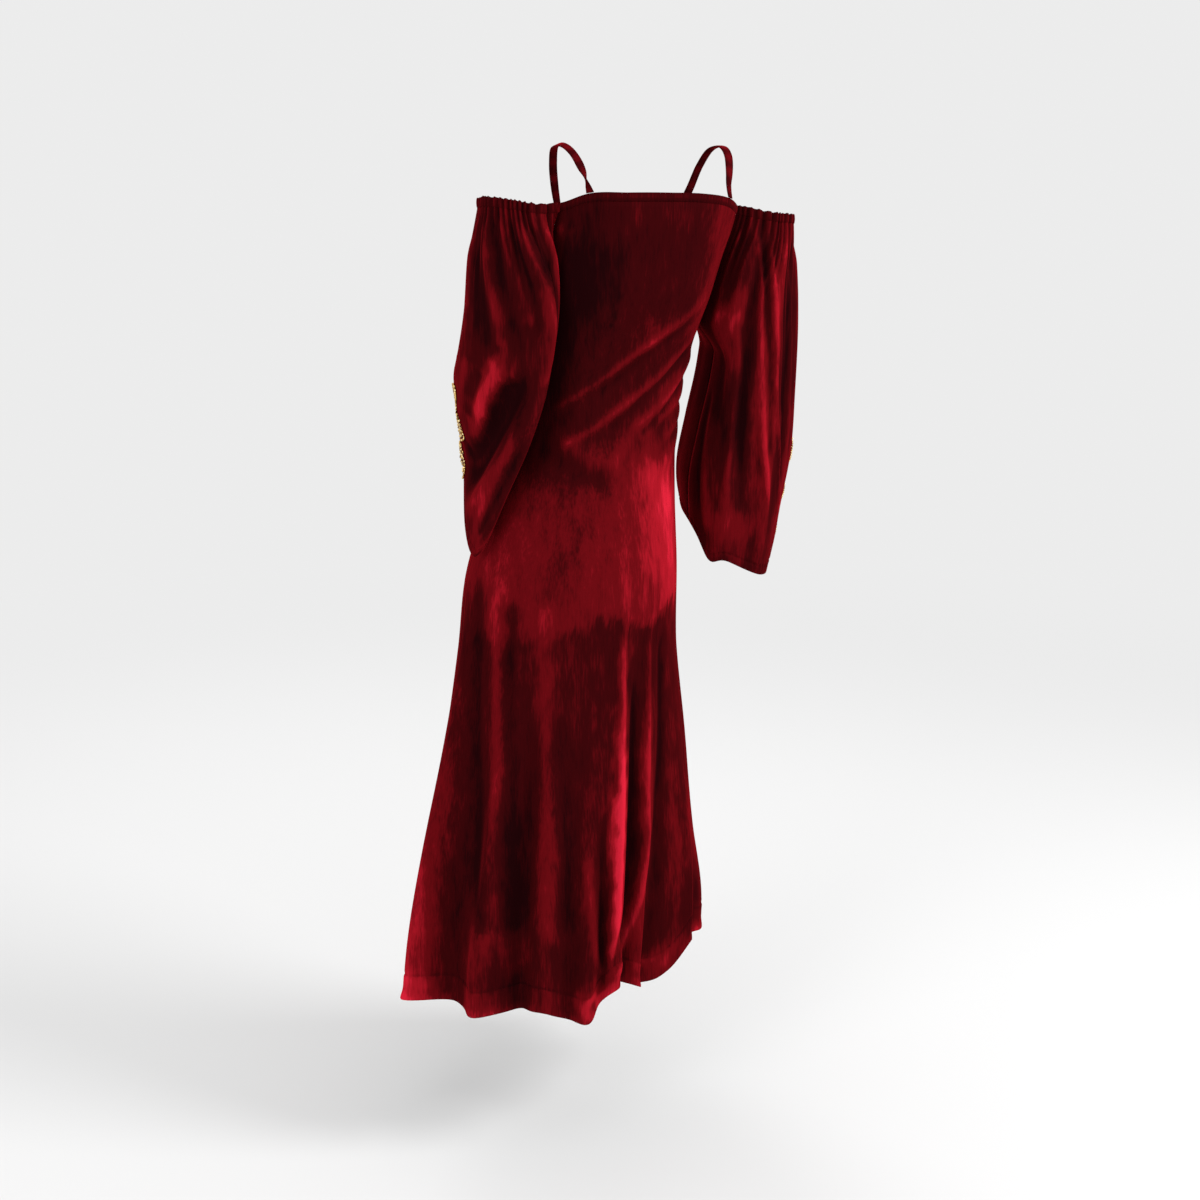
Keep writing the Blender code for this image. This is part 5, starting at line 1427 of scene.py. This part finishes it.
def leaf_of_beads(side, word, number, motif):
    grid = sleeves[side][1]
    hem_row = grid[WIDTH_ROW]
    width = np.linalg.norm(np.diff(hem_row, axis=0), axis=1).sum()
    middle_line = grid[SLEEVE_UPPER:, grid.shape[1] // 2]
    length = np.linalg.norm(np.diff(middle_line, axis=0), axis=1).sum()
    points, faces, gloss = [], [], []
    for k, (along, over, is_bead) in enumerate(leaf_places(motif)):
        share = motif.share + along * motif.length / 2 / length * (1 - UNDERARM_SHARE)
        across = motif.across + over * motif.width / 2 / width
        place, away = sleeve_place(side, np.array([across]), np.array([share]))
        place, away = place[0], away[0]
        shape, shape_faces = BEAD if is_bead else SEQUIN
        first = np.cross(away, TOP_TOWARDS)
        first /= np.linalg.norm(first)
        turn = SEQUIN_TIP * math.sin(5.3 * k)
        tipped = away + first * turn * (0 if is_bead else 1)
        tipped /= np.linalg.norm(tipped)
        first = np.cross(tipped, TOP_TOWARDS)
        first /= np.linalg.norm(first)
        second = np.cross(tipped, first)
        middle_high = BEAD_SIZE * BEAD_SQUASH / 2 if is_bead else SEQUIN_LIFT + SEQUIN_LAYER * (k % 3)
        rise_by = LEAF_LIFT + middle_high
        base = sum(len(p) for p in points)
        points.append(place + away * rise_by + shape @ np.array([first, second, tipped]))
        faces += [tuple(base + v for v in face) for face in shape_faces]
        gloss.append(np.full(len(shape), 0.5 + 0.5 * math.sin(3.7 * k)))
    piece = mesh_piece(f"gold_{word}_motif_{number}", np.concatenate(points), faces, np.concatenate(gloss))
    return piece


motifs = {}
for side, word in SIDES:
    for number, motif in enumerate(MOTIFS[side], start=1):
        motifs[word, number] = leaf_of_beads(side, word, number, motif)
print("motifs:", len(motifs), "faces:", sum(len(piece.data.polygons) for piece in motifs.values()))

# %% [markdown]
# ## Velvet
#
# Silk velvet is a dull backing with a dense glossy pile. The stored value, which holds how far the pile is
# open together with painted highlights and painted shade, picks the colour, from nearly black wine to
# crimson. Fine streaks down the cloth and larger crushed marks vary it. A red sheen brightens the cloth
# where it turns away, which is what makes it read as velvet and not as satin.

# %% The velvet material
def linked(tree, kind, **inputs):
    node = tree.nodes.new(kind)
    for name, value in inputs.items():
        socket = node.inputs[name.replace("_", " ")]
        if isinstance(value, bpy.types.NodeSocket):
            tree.links.new(value, socket)
        else:
            socket.default_value = value
    return node


def maths(tree, operation, first, second):
    node = tree.nodes.new("ShaderNodeMath")
    node.operation = operation
    for socket, value in zip(node.inputs, (first, second)):
        if isinstance(value, bpy.types.NodeSocket):
            tree.links.new(value, socket)
        else:
            socket.default_value = value
    return node.outputs[0]


def noise(tree, places, stretch, scale, detail=2.0):
    mapping = tree.nodes.new("ShaderNodeMapping")
    mapping.inputs["Scale"].default_value = stretch
    tree.links.new(places, mapping.inputs["Vector"])
    made = linked(tree, "ShaderNodeTexNoise", Vector=mapping.outputs["Vector"], Scale=scale, Detail=detail)
    return made.outputs["Fac"]


def ramp(tree, value, stops):
    node = tree.nodes.new("ShaderNodeValToRGB")
    tree.links.new(value, node.inputs["Fac"])
    node.color_ramp.interpolation = "EASE"
    while len(node.color_ramp.elements) < len(stops):
        node.color_ramp.elements.new(0.5)
    for element, (place, colour) in zip(node.color_ramp.elements, stops):
        element.position = place
        element.color = (*colour, 1)
    return node.outputs["Color"]


# Colours for the stored value, which holds the pile's tone with painted highlights and painted shade.
VELVET_STOPS = [
    (0.00, (0.012, 0.0014, 0.0020)),
    (0.25, (0.036, 0.0018, 0.0026)),
    (0.50, (0.120, 0.0030, 0.0052)),
    (0.75, (0.330, 0.0070, 0.0150)),
    (1.00, (0.620, 0.0150, 0.0360)),
]
CRUSH_CONTRAST = 1.4         # over 1, the crushed marks have sharper edges
BROAD_SHIFT = 0.22           # how much the cloth varies over several centimetres


def varied(tree, value, field, amount):
    """The value, moved up and down by a noise that lies about 0.5."""
    swing = maths(tree, "MULTIPLY", maths(tree, "SUBTRACT", field, 0.5), amount)
    return maths(tree, "ADD", value, swing)


def velvet(name, shift, streak=0.30, crush=0.26):
    made = bpy.data.materials.new(name)
    made.use_nodes = True
    tree = made.node_tree
    shader = tree.nodes["Principled BSDF"]
    places = tree.nodes.new("ShaderNodeTexCoord").outputs["Object"]
    # Reads the stored value: the pile's tone with painted highlights and painted shade.
    tone_and_painted_light = tree.nodes.new("ShaderNodeAttribute")
    tone_and_painted_light.attribute_name = "tone_and_painted_light"
    streaks = noise(tree, places, (1, 1, 0.10), 420, 3)
    marks = noise(tree, places, (1, 1, 0.28), 70, 5)
    marks = varied(tree, 0.5, marks, CRUSH_CONTRAST)
    broad = noise(tree, places, (1, 1, 0.5), 13, 2)
    value = maths(tree, "ADD", tone_and_painted_light.outputs["Fac"], shift)
    for field, amount in ((streaks, streak), (marks, crush), (broad, BROAD_SHIFT)):
        value = varied(tree, value, field, amount)
    tree.links.new(ramp(tree, value, VELVET_STOPS), shader.inputs["Base Color"])
    rough = maths(tree, "ADD", maths(tree, "MULTIPLY", streaks, 0.16), 0.46)
    tree.links.new(rough, shader.inputs["Roughness"])
    shader.inputs["Specular IOR Level"].default_value = 0.0
    shader.inputs["Specular Tint"].default_value = (1.0, 0.10, 0.14, 1)
    shader.inputs["Sheen Weight"].default_value = 0.30
    shader.inputs["Sheen Roughness"].default_value = 0.34
    shader.inputs["Sheen Tint"].default_value = (0.90, 0.020, 0.034, 1)
    bump_node = linked(tree, "ShaderNodeBump", Height=maths(tree, "ADD", streaks, marks))
    bump_node.inputs["Strength"].default_value = 0.25
    bump_node.inputs["Distance"].default_value = 0.0006
    tree.links.new(bump_node.outputs["Normal"], shader.inputs["Normal"])
    return made


def gold(name):
    made = bpy.data.materials.new(name)
    made.use_nodes = True
    tree = made.node_tree
    shader = tree.nodes["Principled BSDF"]
    places = tree.nodes.new("ShaderNodeTexCoord").outputs["Object"]
    tone = tree.nodes.new("ShaderNodeAttribute")
    # On the beads the stored value is each bead's own tone.
    tone.attribute_name = "tone_and_painted_light"
    speckle = noise(tree, places, (1, 1, 1), 900, 2)
    tone_part = maths(tree, "MULTIPLY", tone.outputs["Fac"], 0.7)
    value = maths(tree, "ADD", tone_part, maths(tree, "MULTIPLY", speckle, 0.4))
    stops = [(0.1, (0.20, 0.085, 0.020)), (0.5, (0.66, 0.40, 0.12)), (0.95, (0.95, 0.74, 0.36))]
    tree.links.new(ramp(tree, value, stops), shader.inputs["Base Color"])
    shader.inputs["Metallic"].default_value = 1.0
    rough = maths(tree, "ADD", maths(tree, "MULTIPLY", speckle, 0.2), 0.14)
    tree.links.new(rough, shader.inputs["Roughness"])
    return made


velvet_cloth = velvet("silk_velvet", 0.0)
velvet_binding = velvet("velvet_binding", -0.02, streak=0.24, crush=0.20)
gold_beads = gold("gold_beads")
print("materials:", velvet_cloth.name, velvet_binding.name, gold_beads.name)

# %% [markdown]
# ## Handing over
#
# Every piece rides on the gown's one body and stands for the CAD node that it dresses. A table also lists
# the flat piece each cloth piece was cut from, because cloth hardly stretches: its area worn has to be about
# its area flat.

# %% Riding and replacing
Cut = namedtuple("Cut", "piece node slot flat area held rests_on")


def surface_area(grid):
    """Area of a grid of points, as the sum of its cells' two triangles."""
    a, b, c, d = grid[:-1, :-1], grid[:-1, 1:], grid[1:, :-1], grid[1:, 1:]
    first = np.linalg.norm(np.cross(b - a, c - a), axis=2)
    second = np.linalg.norm(np.cross(b - d, c - d), axis=2)
    return float((first + second).sum() / 2)


back_piece, back_grid = panels[False][:2]
front_piece, front_grid = panels[True][:2]
FOLDED = 0.0135              # height of a folded band that shows, round its edge
STRAP_FLAT = (0.0125, 0.26)
CUTS = [
    Cut(back_piece, "back_panel", "velvet", (0.76, 1.20), 0.50, "hung", "back_neck_band"),
    Cut(front_piece, "front_panel", "velvet", (0.76, 1.16), 0.58, "hung", "front_neck_band"),
]
for (side, word), area in zip(SIDES, (0.18, 0.22)):
    piece, casing = sleeves[side][0], f"{word}_sleeve_casing"
    CUTS.append(Cut(piece, f"{word}_sleeve", "velvet", (0.56, 0.50), area, "gathered", casing))
for front, word, length in ((False, "back", 0.33), (True, "front", 0.31)):
    node, panel = f"{word}_neck_band", f"velvet_{word}_panel"
    CUTS.append(Cut(bands[front], node, "binding", (FOLDED, length), None, "stretched", panel))
for side, word in SIDES:
    node, sleeve = f"{word}_sleeve_casing", f"velvet_{word}_sleeve"
    CUTS.append(Cut(casings[side], node, "binding", (FOLDED, 0.34), None, "gathered", sleeve))
for side, word in SIDES:
    node = f"{word}_strap"
    CUTS.append(Cut(straps[side], node, "binding", STRAP_FLAT, None, "stretched", "velvet_back_band"))
areas = [surface_area(grid) for grid in (back_grid, front_grid, sleeves[LEFT][1], sleeves[RIGHT][1])]
print("areas of the back, the front and the sleeves:", [round(area, 3) for area in areas])
for cut in CUTS:
    cut.piece.data.materials.append(velvet_cloth if cut.slot == "velvet" else velvet_binding)
    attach(cut.piece, "root")
    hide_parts(cut.node)
for (word, number), piece in motifs.items():
    piece.data.materials.append(gold_beads)
    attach(piece, "root")
    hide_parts(f"{word}_bead_motif_{number}")

# %% Size of the dressed model
dressed_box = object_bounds()
boxes = {"cad": cad_box, "visual": dressed_box}
for name, box in boxes.items():
    print(name, [round(high - low, 4) for low, high in zip(*box)])
